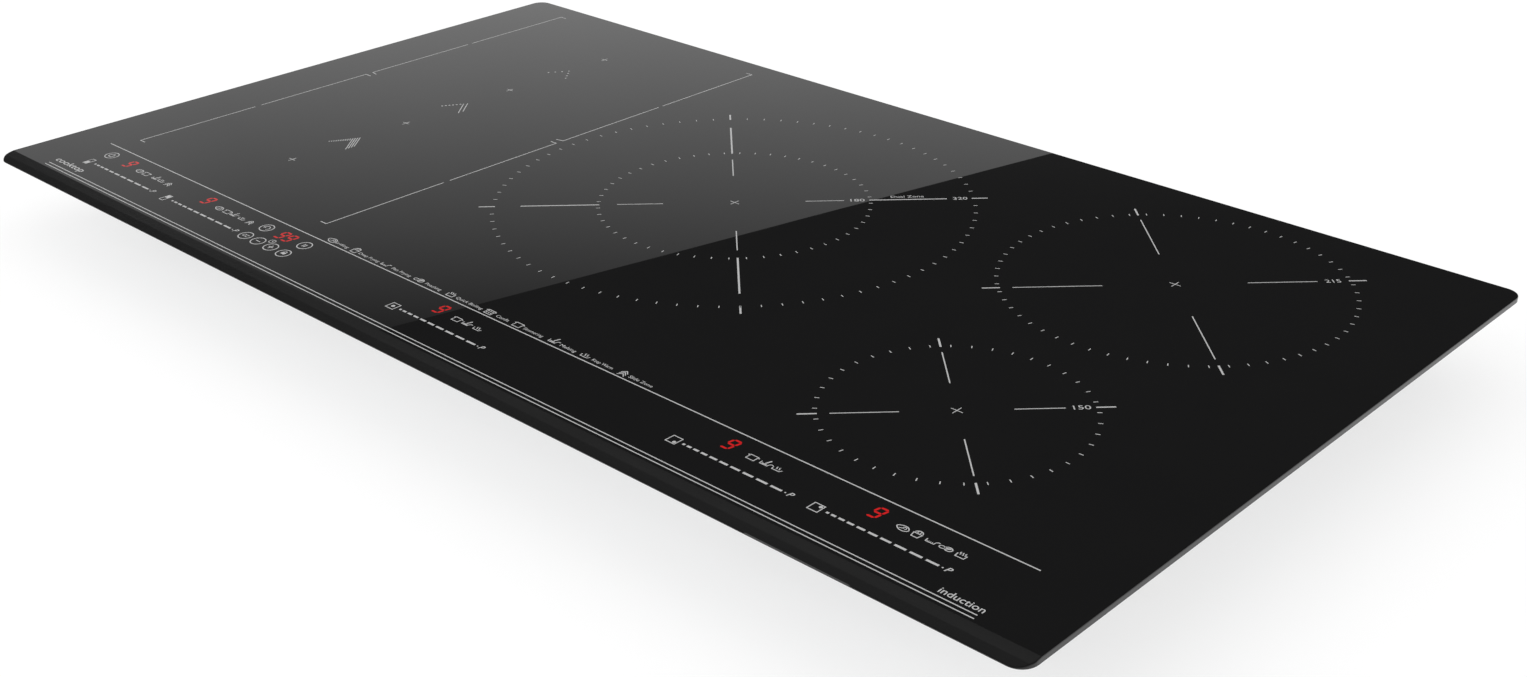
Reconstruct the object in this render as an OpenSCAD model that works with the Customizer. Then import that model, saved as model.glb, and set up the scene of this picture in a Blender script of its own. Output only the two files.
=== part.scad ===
// Built-in electric induction cooktop: a black glass top bonded to a steel
// frame, with a stepped steel casing below it that drops into a worktop
// cut-out.  +Z is up, +X runs right along the front edge and +Y to the back.
// The origin is the centre of the outline at the casing's underside.

/* [Glass] */
// Width of the glass top, left to right
glass_w = 900; // [890:1:1100]
// Depth of the glass top, front to back
glass_d = 510; // [505:1:640]
// Thickness of the glass
glass_t = 4; // [3:0.5:6]
// Radius of the four corners of the glass
glass_corner_r = 10; // [5:1:20]
// Width of the ground slope along the front edge
bevel_w = 12; // [6:1:20]
// Height lost over the ground slope
bevel_drop = 3; // [1:0.25:3.5]

/* [Seal and frame] */
// Thickness of the foam seal under the glass
gasket_t = 2; // [1:0.5:4]
// Width of the foam seal
gasket_w = 7; // [4:1:10]
// Distance from the glass edge to the seal
gasket_inset = 5; // [4:1:8]
// Overhang of the glass past the cut-out at the left and right
side_overlap = 20; // [15:1:30]
// Overhang of the glass past the cut-out at the front and back
end_overlap = 10; // [9:1:12]
// Play between the bonded frame and the cut-out
cutout_play = 3; // [2:0.5:5]
// Sheet thickness of the bonded frame
frame_t = 1; // [0.8:0.1:1.5]
// Height of the frame's turned-down leg
frame_leg = 9; // [8:0.5:12]

/* [Casing] */
// Depth of the casing below the worktop surface
casing_h = 50; // [48:1:70]
// Sheet thickness of the casing
pan_t = 1; // [0.7:0.1:1.5]
// Distance from the glass edge to the casing's side walls
side_setback = 46; // [36:1:48]
// Distance from the glass edge to the front tray's wall
tray_setback = 31; // [26:1:34]
// Distance from the glass edge to the front of the deep part
deep_setback = 65; // [62:1:70]
// Distance from the glass edge to the back wall
back_setback = 19; // [17:1:20]
// Height of the shallow front tray, from its floor to the worktop surface
tray_h = 22; // [20:1:26]
// Radius of the casing's upright corners
pan_corner_r = 8; // [4:1:12]
// Width of one air slot
slot_w = 5; // [3:0.5:6]
// Length of the slots under each fan
inlet_slot_l = 66; // [40:1:70]
// Radius of a casing screw's shank
case_screw_r = 1.75; // [1.5:0.05:2]

/* [Cooking zones] */
// Middle of the four-coil zone, left to right
slide_x = -287; // [-292:1:-284]
// Middle of the front coil of the four-coil zone
slide_first_y = -119; // [-124:1:-115]
// Spacing of the four coils
slide_pitch = 100; // [96:1:102]
// Length of one oval coil, left to right
slide_coil_l = 214; // [180:1:216]
// Width of one oval coil, front to back
slide_coil_w = 92; // [70:1:94]
// Middle of the two-ring zone, left to right
dual_x = -1.5; // [-8:0.5:8]
// Middle of the two-ring zone, front to back
dual_y = 35; // [25:1:45]
// Outside diameter of the outer winding of the two-ring zone
dual_outer_d = 296; // [240:1:300]
// Outside diameter of the inner winding of the two-ring zone
dual_inner_d = 160; // [120:1:170]
// Middle of the two right-hand zones, left to right
right_x = 287; // [284:1:292]
// Middle of the rear right zone, front to back
rear_y = 123; // [118:1:126]
// Outside diameter of the rear right winding
rear_d = 196; // [150:1:200]
// Middle of the front right zone, front to back
front_y = -93; // [-98:1:-88]
// Outside diameter of the front right winding
front_d = 134; // [100:1:160]

/* [Coil stack] */
// Thickness of the fibre sheet between coils and glass
insulation_t = 3.5; // [2:0.5:4]
// Height of a winding
winding_h = 4; // [3:0.5:5]
// Thickness of a coil carrier
carrier_t = 2; // [1.5:0.5:3]
// Thickness of the ferrite bars
ferrite_t = 4; // [3:0.5:5]
// Width of a ferrite bar
ferrite_w = 12; // [8:1:15]
// Thickness of the aluminium coil plates
plate_t = 1.5; // [1:0.25:2]
// How far a coil plate reaches past its coils
plate_margin = 5; // [3:0.5:6]
// Height of the leaf springs that lift the coil plates
spring_h = 5; // [4:0.5:6]
// Radius of the open middle of a winding
coil_eye_r = 18; // [14:1:24]
// Distance from one turn of a winding to the next
turn_pitch = 4; // [3:0.25:6]
// Groove between two turns
turn_gap = 0.8; // [0.4:0.1:1.2]
// Radius of a temperature sensor
sensor_r = 6; // [4:0.5:8]
// Radius of a post under a coil plate
post_r = 5; // [4:0.5:6]

/* [Power electronics] */
// Width of a power board
board_w = 176; // [150:1:180]
// Depth of a power board
board_d = 190; // [170:1:196]
// Thickness of a circuit board
board_t = 1.6; // [1.2:0.2:2.4]
// Height of the feet that carry the boards
standoff_h = 4; // [3:0.5:6]
// Middle of the power boards, front to back
board_y = -47; // [-52:1:-44]
// Width of a heat sink
sink_w = 60; // [50:1:66]
// Length of a heat sink
sink_l = 150; // [100:1:160]
// Height of a heat sink
sink_h = 21; // [16:1:22]
// Number of fins on a heat sink
fin_count = 11; // [7:1:13]
// Width of the filter board
filter_w = 180; // [170:1:200]
// Depth of the filter board
filter_d = 130; // [124:1:150]

/* [Fans] */
// Radius of a fan impeller
fan_r = 42; // [34:0.5:51]
// Height of an impeller
fan_h = 22; // [16:1:23]
// Number of blades on an impeller
blade_count = 24; // [12:1:36]
// Distance between an impeller and its housing wall
fan_air_gap = 7; // [4:1:9]
// Radius of the motor's shaft
shaft_r = 1.5; // [1:0.1:2]
// Radius of a fan motor
motor_r = 11; // [9:0.5:13]
// Middle of the fans, front to back
fan_y = 135; // [132:1:138]
// Wall of the fan housings and air ducts
duct_wall = 1.5; // [1:0.25:2]

/* [Controls] */
// Distance from the glass edge to the middle of the control strip
control_setback = 48; // [47:0.5:49]
// Depth of the control carrier, front to back
control_d = 28; // [26:1:29]
// Width of the control carrier, left to right
control_w = 790; // [780:1:796]
// Height of the control carrier
control_h = 6; // [5:0.5:7]
// Length of a display module
display_l = 84; // [60:1:86]
// Width of a display module
display_w = 12; // [8:1:13]

/* [Mains terminal] */
// Left side of the terminal box
terminal_x = 50; // [30:1:60]
// Width of the terminal box
terminal_w = 112; // [100:1:120]
// Depth of the terminal box into the casing
terminal_d = 45; // [40:1:46]
// Height of the terminal box
terminal_h = 32; // [28:1:33]
// Wall of the terminal box
terminal_wall = 2; // [1.5:0.25:2.5]
// Width of the hinged terminal cover
cover_w = 70; // [50:1:72]
// Radius of the cover's hinge pegs
peg_r = 1.5; // [1:0.1:1.6]
// Radius of the cable hole in the inlet gland
cable_r = 6; // [4:0.25:7]

/* [Worktop clamps] */
// Length of a clamp arm, from pivot to screw
clamp_l = 38; // [30:1:60]
// Width of a clamp arm
clamp_w = 14; // [12:1:15]
// Thickness of a clamp arm
clamp_t = 2; // [1.5:0.25:3]
// Radius of a clamp's pivot pin
clamp_pin_r = 3; // [2:0.25:3.5]
// Radius of a clamp screw
clamp_screw_r = 2.5; // [2:0.25:3]
// How far a clamp screw can be driven up through its arm
clamp_travel = 9; // [6:0.5:9]
// Height of a clamp's ear above the casing's underside
clamp_z = 20; // [17:1:24]
// Pivots of the front clamps, front to back
clamp_front_y = -120; // [-140:1:-100]
// Pivots of the rear clamps, front to back
clamp_rear_y = 120; // [100:1:150]

/* [Fits] */
// Radial play of a part that turns in a hole
running_gap = 0.06; // [0.02:0.01:0.1]
// Play around a part that is dropped in place
slip_gap = 0.3; // [0.2:0.05:0.5]

/* [Hidden] */
$fn = 72;

// Colours that several pieces share
screw_steel = [0.78, 0.79, 0.8];
zinc = [0.66, 0.67, 0.69];
ferrite_grey = [0.25, 0.25, 0.27];
pale_plastic = [0.85, 0.84, 0.8];
copper = [0.72, 0.42, 0.22];
spring_grey = [0.6, 0.6, 0.62];
board_green = [0.1, 0.35, 0.2];

// Levels, from the casing's underside upwards
z_glass = casing_h + gasket_t;
z_top = z_glass + glass_t;
z_wall_top = z_glass - frame_t;
z_tray = casing_h - tray_h;
z_winding = z_glass - insulation_t - winding_h;
z_carrier = z_winding - carrier_t;
z_ferrite = z_carrier - ferrite_t;
z_plate = z_ferrite - plate_t;
z_spring = z_plate - spring_h;
z_board = pan_t + standoff_h;
z_parts = z_board + board_t;

// Walls of the casing, measured on the outside
side_x = glass_w / 2 - side_setback;
tray_y = -glass_d / 2 + tray_setback;
deep_y = -glass_d / 2 + deep_setback;
back_y = glass_d / 2 - back_setback;
control_y = -glass_d / 2 + control_setback;

// Outlines of the three coil plates: [middle x, half width, front y, back y]
slide_last_y = slide_first_y + 3 * slide_pitch;
slide_plate = [slide_x, slide_coil_l / 2 + plate_margin,
    slide_first_y - slide_coil_w / 2 - plate_margin / 2,
    slide_last_y + slide_coil_w / 2 + plate_margin / 2];
dual_plate = [dual_x, dual_outer_d / 2 + plate_margin,
    dual_y - dual_outer_d / 2 - plate_margin, dual_y + dual_outer_d / 2 + plate_margin];
right_plate = [right_x, slide_coil_l / 2 + plate_margin,
    front_y - front_d / 2 - plate_margin, rear_y + rear_d / 2 + plate_margin];
PLATES = [slide_plate, dual_plate, right_plate];

// Middles of all seven sensor holes
SENSORS = concat([for (i = [0:3]) [slide_x, slide_first_y + i * slide_pitch]],
    [[dual_x, dual_y], [right_x, rear_y], [right_x, front_y]]);

// Places of the posts that carry one plate
post_inset = 11;
function plate_corners(p) = [for (sx = [-1, 1], y = [p[2] + post_inset, p[3] - post_inset])
    [p[0] + sx * (p[1] - post_inset), y]];

// Clamps: [side, pivot y]
clamp_x = side_x + clamp_w / 2 + 1;
CLAMPS = [[-1, clamp_front_y], [1, clamp_front_y], [-1, clamp_rear_y], [1, clamp_rear_y]];

// ---------- helpers ----------

// Rectangle about the middle with round corners
module rounded_rect(w, d, r) {
    square([w - 2 * r, d], center = true);
    square([w, d - 2 * r], center = true);
    for (sx = [-1, 1], sy = [-1, 1]) translate([sx * (w / 2 - r), sy * (d / 2 - r)]) circle(r);
}

// Rounded rectangle between two corners, extruded from z0 to z1
module slab(x0, x1, y0, y1, z0, z1, r) {
    translate([(x0 + x1) / 2, (y0 + y1) / 2, z0])
        linear_extrude(z1 - z0) rounded_rect(x1 - x0, y1 - y0, r);
}

// Plain box between two corners
module block(x0, x1, y0, y1, z0, z1) {
    translate([x0, y0, z0]) cube([x1 - x0, y1 - y0, z1 - z0]);
}

// Long outline with half-round ends along X
module stadium(l, w) {
    square([l - w, w], center = true);
    for (sx = [-1, 1]) translate([sx * (l - w) / 2, 0]) circle(w / 2);
}

// Bar that lies on a circle's radius, from r0 to r1
module radial_bars(count, r0, r1, w, h) {
    for (i = [0:count - 1]) rotate([0, 0, i * 360 / count + 180 / count])
        translate([r0, -w / 2, 0]) cube([r1 - r0, w, h]);
}

// ---------- glass, seal and frame ----------

module glass_top() {
    color([0.05, 0.05, 0.055]) difference() {
        translate([0, 0, z_glass]) linear_extrude(glass_t)
            rounded_rect(glass_w, glass_d, glass_corner_r);
        // the ground slope along the front edge
        translate([-glass_w / 2 - 1, 0, 0]) rotate([90, 0, 90]) linear_extrude(glass_w + 2)
            polygon([[-glass_d / 2 + bevel_w, z_top],
                [-glass_d / 2 - bevel_w, z_top - 2 * bevel_drop],
                [-glass_d / 2 - bevel_w, z_top + 1], [-glass_d / 2 + bevel_w, z_top + 1]]);
    }
}

module edge_gasket() {
    w = glass_w - 2 * gasket_inset;
    d = glass_d - 2 * gasket_inset;
    color([0.12, 0.12, 0.12]) translate([0, 0, casing_h]) linear_extrude(gasket_t)
        difference() {
            rounded_rect(w, d, glass_corner_r);
            rounded_rect(w - 2 * gasket_w, d - 2 * gasket_w, glass_corner_r / 2);
        }
}

// Half sizes of the bonded frame's flange, inside the cut-out
frame_x = glass_w / 2 - side_overlap - cutout_play;
frame_y = glass_d / 2 - end_overlap - cutout_play;
// Middle height of the casing screws
screw_z = z_wall_top - frame_leg / 2;
// Screws: [x, y, direction in degrees that its head looks to]
screw_side_y = 170;
screw_long_x = 340;
CASE_SCREWS = concat(
    [for (sx = [-1, 1], y = [-screw_side_y, 0, screw_side_y]) [sx * side_x, y, sx > 0 ? 0 : 180]],
    [for (x = [-screw_long_x, -screw_long_x / 3, screw_long_x / 3, screw_long_x]) [x, tray_y, -90]],
    [for (x = [-screw_long_x, -screw_long_x / 3, screw_long_x / 3, screw_long_x]) [x, back_y, 90]]);

// Holes for the casing screws, through the frame's leg and the pan's wall
module screw_holes(r) {
    for (s = CASE_SCREWS) translate([s[0], s[1], screw_z]) rotate([0, 0, s[2]])
        rotate([0, 90, 0]) cylinder(h = 12, r = r, center = true);
}

module glass_frame() {
    g = slip_gap / 2;
    color([0.72, 0.73, 0.75]) difference() {
        union() {
            // flange bonded to the glass
            slab(-frame_x, frame_x, -frame_y, frame_y, z_wall_top, z_glass, pan_corner_r);
            // leg round the outside of the casing's walls
            slab(-side_x - g - frame_t, side_x + g + frame_t, tray_y - g - frame_t,
                back_y + g + frame_t, z_wall_top - frame_leg, z_wall_top, pan_corner_r + g + frame_t);
        }
        slab(-side_x - g, side_x + g, tray_y - g, back_y + g, z_wall_top - frame_leg - 1,
            z_wall_top, pan_corner_r + g);
        slab(-side_x + pan_t, side_x - pan_t, tray_y + pan_t, back_y - pan_t,
            z_wall_top - 1, z_glass + 1, pan_corner_r - pan_t);
        screw_holes(case_screw_r + slip_gap / 3);
    }
}

module casing_screws() {
    head_r = case_screw_r * 1.9;
    head_h = 2;
    shank_l = 4;
    seat = slip_gap / 2 + frame_t;
    color(screw_steel) for (s = CASE_SCREWS) translate([s[0], s[1], screw_z])
        rotate([0, 0, s[2]]) rotate([0, 90, 0]) difference() {
            union() {
                translate([0, 0, seat - shank_l]) cylinder(h = shank_l, r = case_screw_r);
                translate([0, 0, seat]) cylinder(h = head_h, r = head_r);
            }
            for (a = [0, 90]) rotate([0, 0, a]) translate([0, 0, seat + head_h])
                cube([head_r * 1.2, 0.9, 2], center = true);
        }
}

// ---------- casing ----------

terminal_r = terminal_x + terminal_w;
gland_x = terminal_x + cover_w + (terminal_w - cover_w) / 2;
gland_z = pan_t + terminal_h / 2;
gland_neck_r = cable_r + 3;

// Outside (grow = 0) or inside of the stepped casing
module pan_shape(grow, z_floor, z_shelf, z_high) {
    r = max(pan_corner_r + grow, 1);
    slab(-side_x - grow, side_x + grow, deep_y - grow, back_y + grow, z_floor, z_high, r);
    slab(-side_x - grow, side_x + grow, tray_y - grow, back_y + grow, z_shelf, z_high, r);
}

module base_pan() {
    slot_rows = 9;
    front_slots = 14;
    slot_pitch = slot_w * 1.8;
    color(zinc) difference() {
        pan_shape(0, 0, z_tray, z_wall_top);
        pan_shape(-pan_t, pan_t, z_tray + pan_t, z_wall_top + 1);
        screw_holes(case_screw_r + slip_gap / 6);
        // air in under each fan, through slots that shorten to both sides
        for (sx = [slide_x, right_x], i = [0:slot_rows - 1])
            translate([sx + (i - (slot_rows - 1) / 2) * slot_pitch, fan_y, 0])
                cube([slot_w, inlet_slot_l - abs(i - (slot_rows - 1) / 2) * 7, 4], center = true);
        // air out through the front of the deep part
        for (sx = [slide_x, right_x], i = [0:front_slots - 1])
            translate([sx + (i - (front_slots - 1) / 2) * slot_pitch, deep_y, z_tray / 2])
                cube([slot_w, 6, z_tray * 0.55], center = true);
        // window of the terminal box and hole of the cable gland
        block(terminal_x - slip_gap, terminal_x + cover_w + slip_gap, back_y - pan_t - 1, back_y + 1,
            pan_t, pan_t + terminal_h + slip_gap);
        translate([gland_x, back_y - pan_t - 1, gland_z]) rotate([-90, 0, 0])
            cylinder(h = pan_t + 2, r = gland_neck_r + slip_gap / 3);
    }
}

// ---------- coil plates and what they carry ----------

module coil_plate(p) {
    rim = 4;
    color([0.8, 0.81, 0.83]) difference() {
        slab(p[0] - p[1], p[0] + p[1], p[2], p[3], z_plate - rim, z_ferrite, 6);
        // hollow underneath: only the sheet and its turned-down rim are left
        slab(p[0] - p[1] + plate_t, p[0] + p[1] - plate_t, p[2] + plate_t, p[3] - plate_t,
            z_plate - rim - 1, z_plate, 6 - plate_t);
        for (s = SENSORS) translate([s[0], s[1], z_plate - 1]) cylinder(h = plate_t + 2, r = sensor_r - 1);
    }
}

module slide_coil_plate() coil_plate(slide_plate);
module dual_coil_plate() coil_plate(dual_plate);
module right_coil_plate() coil_plate(right_plate);

module slide_ferrites() {
    bar_l = slide_coil_w - 8;
    bars = 8;
    end_margin = 15;
    color(ferrite_grey) for (k = [0:3], i = [0:bars - 1]) {
        x = (i - (bars - 1) / 2) * (slide_coil_l - 2 * end_margin) / (bars - 1);
        gap_y = sensor_r + 6;
        for (sy = [-1, 1]) translate([slide_x + x - ferrite_w / 2,
            slide_first_y + k * slide_pitch + (sy > 0 ? gap_y : -bar_l / 2), z_ferrite])
            cube([ferrite_w, bar_l / 2 - gap_y, ferrite_t]);
    }
}

module round_ferrites(x, y, d, count) {
    color(ferrite_grey) translate([x, y, z_ferrite])
        radial_bars(count, ferrite_w * count / 2 / PI + 4, d / 2 - 3, ferrite_w, ferrite_t);
}

module dual_ferrites() round_ferrites(dual_x, dual_y, dual_outer_d, 12);

module right_ferrites() {
    round_ferrites(right_x, rear_y, rear_d, 8);
    round_ferrites(right_x, front_y, front_d, 6);
}

// A spoked disc that carries one round coil
module round_carrier(x, y, d) {
    windows = 8;
    color(pale_plastic) translate([x, y, z_carrier]) linear_extrude(carrier_t)
        difference() {
            circle(d / 2 + 1);
            circle(sensor_r + slip_gap);
            for (i = [0:windows - 1]) rotate(i * 360 / windows)
                translate([d / 4 + 4, 0]) square([d / 4, d / 16], center = true);
        }
}

module dual_coil_carrier() round_carrier(dual_x, dual_y, dual_outer_d);
module rear_right_carrier() round_carrier(right_x, rear_y, rear_d);
module front_right_carrier() round_carrier(right_x, front_y, front_d);

module slide_coil_carriers() {
    color(pale_plastic) for (k = [0:3])
        translate([slide_x, slide_first_y + k * slide_pitch, z_carrier])
            linear_extrude(carrier_t) difference() {
                stadium(slide_coil_l + 2, slide_coil_w + 2);
                circle(sensor_r + slip_gap);
                for (sx = [-1, 1]) translate([sx * slide_coil_l / 4, 0])
                    stadium(slide_coil_l / 5, slide_coil_w / 5);
            }
}

// Flat spiral of stranded wire: raised turns on a thin lower layer
module round_winding(x, y, r_in, r_out) {
    turns = floor((r_out - r_in) / turn_pitch);
    color(copper) translate([x, y, z_winding]) rotate_extrude() {
        translate([r_in, 0]) square([r_out - r_in, winding_h / 2]);
        for (i = [0:turns - 1]) translate([r_in + i * turn_pitch, 0])
            square([turn_pitch - turn_gap, winding_h]);
    }
}

module dual_inner_winding() round_winding(dual_x, dual_y, coil_eye_r, dual_inner_d / 2);
module dual_outer_winding() round_winding(dual_x, dual_y, dual_inner_d / 2 + 8, dual_outer_d / 2);
module rear_right_winding() round_winding(right_x, rear_y, coil_eye_r, rear_d / 2);
module front_right_winding() round_winding(right_x, front_y, coil_eye_r, front_d / 2);

module slide_coil_windings() {
    eye_w = coil_eye_r * 1.2;
    turns = floor((slide_coil_w - eye_w) / 2 / turn_pitch);
    color(copper) for (k = [0:3])
        translate([slide_x, slide_first_y + k * slide_pitch, z_winding]) {
            linear_extrude(winding_h / 2) difference() {
                stadium(slide_coil_l, slide_coil_w);
                stadium(slide_coil_l - slide_coil_w + eye_w, eye_w);
            }
            for (i = [0:turns - 1]) linear_extrude(winding_h) difference() {
                stadium(slide_coil_l - 2 * i * turn_pitch, slide_coil_w - 2 * i * turn_pitch);
                stadium(slide_coil_l - 2 * (i + 1) * turn_pitch + 2 * turn_gap,
                    slide_coil_w - 2 * (i + 1) * turn_pitch + 2 * turn_gap);
            }
        }
}

module insulation_sheets() {
    color([0.9, 0.89, 0.85]) difference() {
        for (p = PLATES) slab(p[0] - p[1], p[0] + p[1], p[2], p[3], z_glass - insulation_t, z_glass, 6);
        for (s = SENSORS) translate([s[0], s[1], z_glass - insulation_t - 1])
            cylinder(h = insulation_t + 2, r = sensor_r + 1);
    }
}

module coil_sensors() {
    color([0.93, 0.93, 0.9]) for (s = SENSORS) translate([s[0], s[1], z_ferrite])
        union() {
            cylinder(h = z_glass - z_ferrite, r = sensor_r);
            cylinder(h = ferrite_t, r = sensor_r + 2);
        }
}

// Bent strip of spring steel: flat foot, two slopes and a flat crown
module leaf_spring(h, l, w) {
    t = 0.5;
    foot = l / 5;
    rotate([90, 0, 0]) translate([0, 0, -w / 2]) linear_extrude(w)
        polygon([[-l / 2, 0], [-l / 2 + foot, 0], [-foot / 2, h - t], [foot / 2, h - t],
            [l / 2 - foot, 0], [l / 2, 0], [l / 2, t], [l / 2 - foot + t, t],
            [foot / 2 + t, h], [-foot / 2 - t, h], [-l / 2 + foot - t, t], [-l / 2, t]]);
}

module coil_plate_springs() {
    color(spring_grey) for (p = PLATES, c = plate_corners(p)) translate([c[0], c[1], z_spring])
        leaf_spring(spring_h, 2 * post_r, post_r);
}

module coil_plate_posts() {
    color([0.85, 0.85, 0.82]) for (p = PLATES, c = plate_corners(p)) translate([c[0], c[1], pan_t])
        cylinder(h = z_spring - pan_t, r = post_r);
}

// ---------- power electronics ----------

POWER_X = [slide_x, right_x];
foot_inset = 6;
filter_y = -60;

module board(x, y, w, d) {
    translate([x, y, z_board]) linear_extrude(board_t) difference() {
        square([w, d], center = true);
        for (sx = [-1, 1], sy = [-1, 1])
            translate([sx * (w / 2 - foot_inset), sy * (d / 2 - foot_inset)]) circle(1.6);
    }
}

module power_boards() {
    color(board_green) for (x = POWER_X) board(x, board_y, board_w, board_d);
}

module filter_board() {
    color(board_green) board(0, filter_y, filter_w, filter_d);
}

foot_r = 3.5;
foot_peg_r = 1.5;

module feet_of(x, y, w, d) {
    for (sx = [-1, 1], sy = [-1, 1])
        translate([x + sx * (w / 2 - foot_inset), y + sy * (d / 2 - foot_inset), pan_t]) {
            cylinder(h = standoff_h, r = foot_r);
            cylinder(h = standoff_h + board_t + foot_peg_r, r = foot_peg_r);
        }
}

module board_feet() {
    color([0.92, 0.92, 0.9]) {
        for (x = POWER_X) feet_of(x, board_y, board_w, board_d);
        feet_of(0, filter_y, filter_w, filter_d);
    }
}

module heat_sinks() {
    base = 4;
    fin_t = 1.6;
    color([0.75, 0.76, 0.78]) for (x = POWER_X)
        translate([x, board_y + sink_l / 2, z_parts]) rotate([90, 0, 0]) linear_extrude(sink_l) {
            translate([-sink_w / 2, 0]) square([sink_w, base]);
            for (i = [0:fin_count - 1])
                translate([-sink_w / 2 + i * (sink_w - fin_t) / (fin_count - 1), 0])
                    square([fin_t, sink_h]);
        }
}

// Flat transistors stand against one side of each heat sink with their legs
// in the board, and the rectifier bridge stands against the other side
module power_semiconductors() {
    chip = [4.6, 16, 16];
    chip_lift = 3;
    chip_pitch = 36;
    leg = [1, 1.2, 3.5];
    leg_pitch = 5;
    bridge = [5, 28, 18];
    count = 4;
    color([0.12, 0.12, 0.13]) for (x = POWER_X, i = [0:count - 1]) {
        y = board_y + (i - (count - 1) / 2) * chip_pitch;
        translate([x + sink_w / 2, y - chip[1] / 2, z_parts + chip_lift]) cube(chip);
        for (k = [-1:1])
            translate([x + sink_w / 2 + 2, y + k * leg_pitch - leg[1] / 2, z_parts]) cube(leg);
    }
    color([0.15, 0.15, 0.16]) for (x = POWER_X)
        translate([x - sink_w / 2 - bridge[0], board_y - bridge[1] / 2, z_parts]) cube(bridge);
}

module resonance_capacitors() {
    case = [18, 38, 18];
    row_x = 64;
    pitch = 46;
    color([0.2, 0.32, 0.55]) for (x = POWER_X, sx = [-1, 1], i = [0:2])
        translate([x + sx * row_x, board_y + (i - 1) * pitch, z_parts + case[2] / 2])
            cube(case, center = true);
}

module filter_chokes() {
    choke_x = [-45, 20];
    ahead = 22;
    core_r = 13;
    wire_r = 7;
    lift = 9;
    color([0.62, 0.36, 0.18]) for (x = choke_x) translate([x, filter_y + ahead, z_parts])
        rotate_extrude() translate([core_r, lift]) union() {
            circle(wire_r);
            translate([-wire_r, -lift]) square([2 * wire_r, lift]);
        }
}

module filter_capacitors() {
    case = [26, 30, 20];
    first_x = -64;
    pitch = 34;
    behind = 32;
    color([0.75, 0.68, 0.2]) for (i = [0:2])
        translate([first_x + i * pitch, filter_y - behind, z_parts + case[2] / 2]) cube(case, center = true);
}

module relays() {
    case = [20, 28, 16];
    relay_x = 64;
    first_y = -36;
    pitch = 34;
    color([0.1, 0.1, 0.1]) for (i = [0:2])
        translate([relay_x, filter_y + first_y + i * pitch, z_parts + case[2] / 2])
            cube(case, center = true);
}

// ---------- fans and ducts ----------

z_fan_floor = pan_t;
fan_house_r = fan_r + fan_air_gap;
fan_top = z_fan_floor + duct_wall + fan_h + 3;
outlet_w = sink_w + 16;
duct_top = max(fan_top, z_parts + sink_h + slip_gap) + duct_wall;
outlet_l = fan_house_r + 4;

module housing_outline(grow) {
    circle(fan_house_r + grow);
    translate([-outlet_w / 2 - grow, -outlet_l]) square([outlet_w + 2 * grow, outlet_l]);
}

module fan_housings() {
    inlet_r = fan_r - 8;
    color([0.14, 0.14, 0.15]) for (x = POWER_X) translate([x, fan_y, 0]) difference() {
        translate([0, 0, z_fan_floor]) linear_extrude(fan_top + duct_wall - z_fan_floor)
            housing_outline(duct_wall);
        translate([0, 0, z_fan_floor + duct_wall]) linear_extrude(fan_top - z_fan_floor - duct_wall)
            union() {
                housing_outline(0);
                translate([-outlet_w / 2, -outlet_l - 1]) square([outlet_w, 2]);
            }
        translate([0, 0, z_fan_floor - 1]) cylinder(h = duct_wall + 2, r = inlet_r);
    }
}

hub_top = fan_top - 3;

module impeller(x) {
    z0 = z_fan_floor + duct_wall + 1;
    back_t = 1.5;
    ring_t = 1.2;
    cup_t = 1.5;
    cup_floor = 3;
    motor_play = 0.8;
    blade_l = 9;
    blade_lean = 28;
    rim_w = blade_l + 2;
    translate([x, fan_y, 0]) color([0.2, 0.2, 0.21]) {
        // cup that covers the motor and turns on its shaft
        difference() {
            translate([0, 0, z0]) cylinder(h = hub_top - z0, r = motor_r + motor_play + cup_t);
            translate([0, 0, z0 + cup_floor]) cylinder(h = fan_h, r = motor_r + motor_play);
            translate([0, 0, z0 - 1]) cylinder(h = fan_h, r = shaft_r + running_gap);
        }
        // disc above the blades
        difference() {
            translate([0, 0, hub_top - back_t]) cylinder(h = back_t, r = fan_r);
            translate([0, 0, hub_top - back_t - 1]) cylinder(h = back_t + 2, r = motor_r + motor_play + cup_t / 2);
        }
        // ring below the blades
        difference() {
            translate([0, 0, z0]) cylinder(h = ring_t, r = fan_r);
            translate([0, 0, z0 - 1]) cylinder(h = ring_t + 2, r = fan_r - rim_w);
        }
        for (i = [0:blade_count - 1]) rotate([0, 0, i * 360 / blade_count])
            translate([fan_r - blade_l - 0.5, 0, z0 + ring_t / 2]) rotate([0, 0, blade_lean])
                cube([blade_l, 1, hub_top - z0 - ring_t / 2 - back_t / 2]);
    }
}

module left_fan_impeller() impeller(slide_x);
module right_fan_impeller() impeller(right_x);

module fan_motors() {
    z0 = z_fan_floor + duct_wall + 1;
    motor_z = z0 + 5;
    color([0.35, 0.35, 0.37]) for (x = POWER_X) translate([x, fan_y, 0]) {
        translate([0, 0, motor_z]) cylinder(h = fan_top - motor_z, r = motor_r);
        translate([0, 0, z0 + 0.5]) cylinder(h = motor_z - z0, r = shaft_r);
    }
}

// Inverted channel that leads each fan's air over the heat sink
module air_ducts() {
    y1 = fan_y - outlet_l - slip_gap;
    y0 = board_y - sink_l / 2;
    half = outlet_w / 2 + duct_wall;
    color([0.16, 0.16, 0.17]) for (x = POWER_X) difference() {
        block(x - half, x + half, y0, y1, z_parts, duct_top);
        block(x - half + duct_wall, x + half - duct_wall, y0 - 1, y1 + 1, z_parts - 1, duct_top - duct_wall);
    }
}

// ---------- control strip ----------

z_control = z_glass - 7.5;
// Middles of the five sliders and of the timer display, left to right
SLIDERS = [-346, -246, 3, 241, 340];
timer_x = -175;
DISPLAYS = concat(SLIDERS, [timer_x]);

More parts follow.
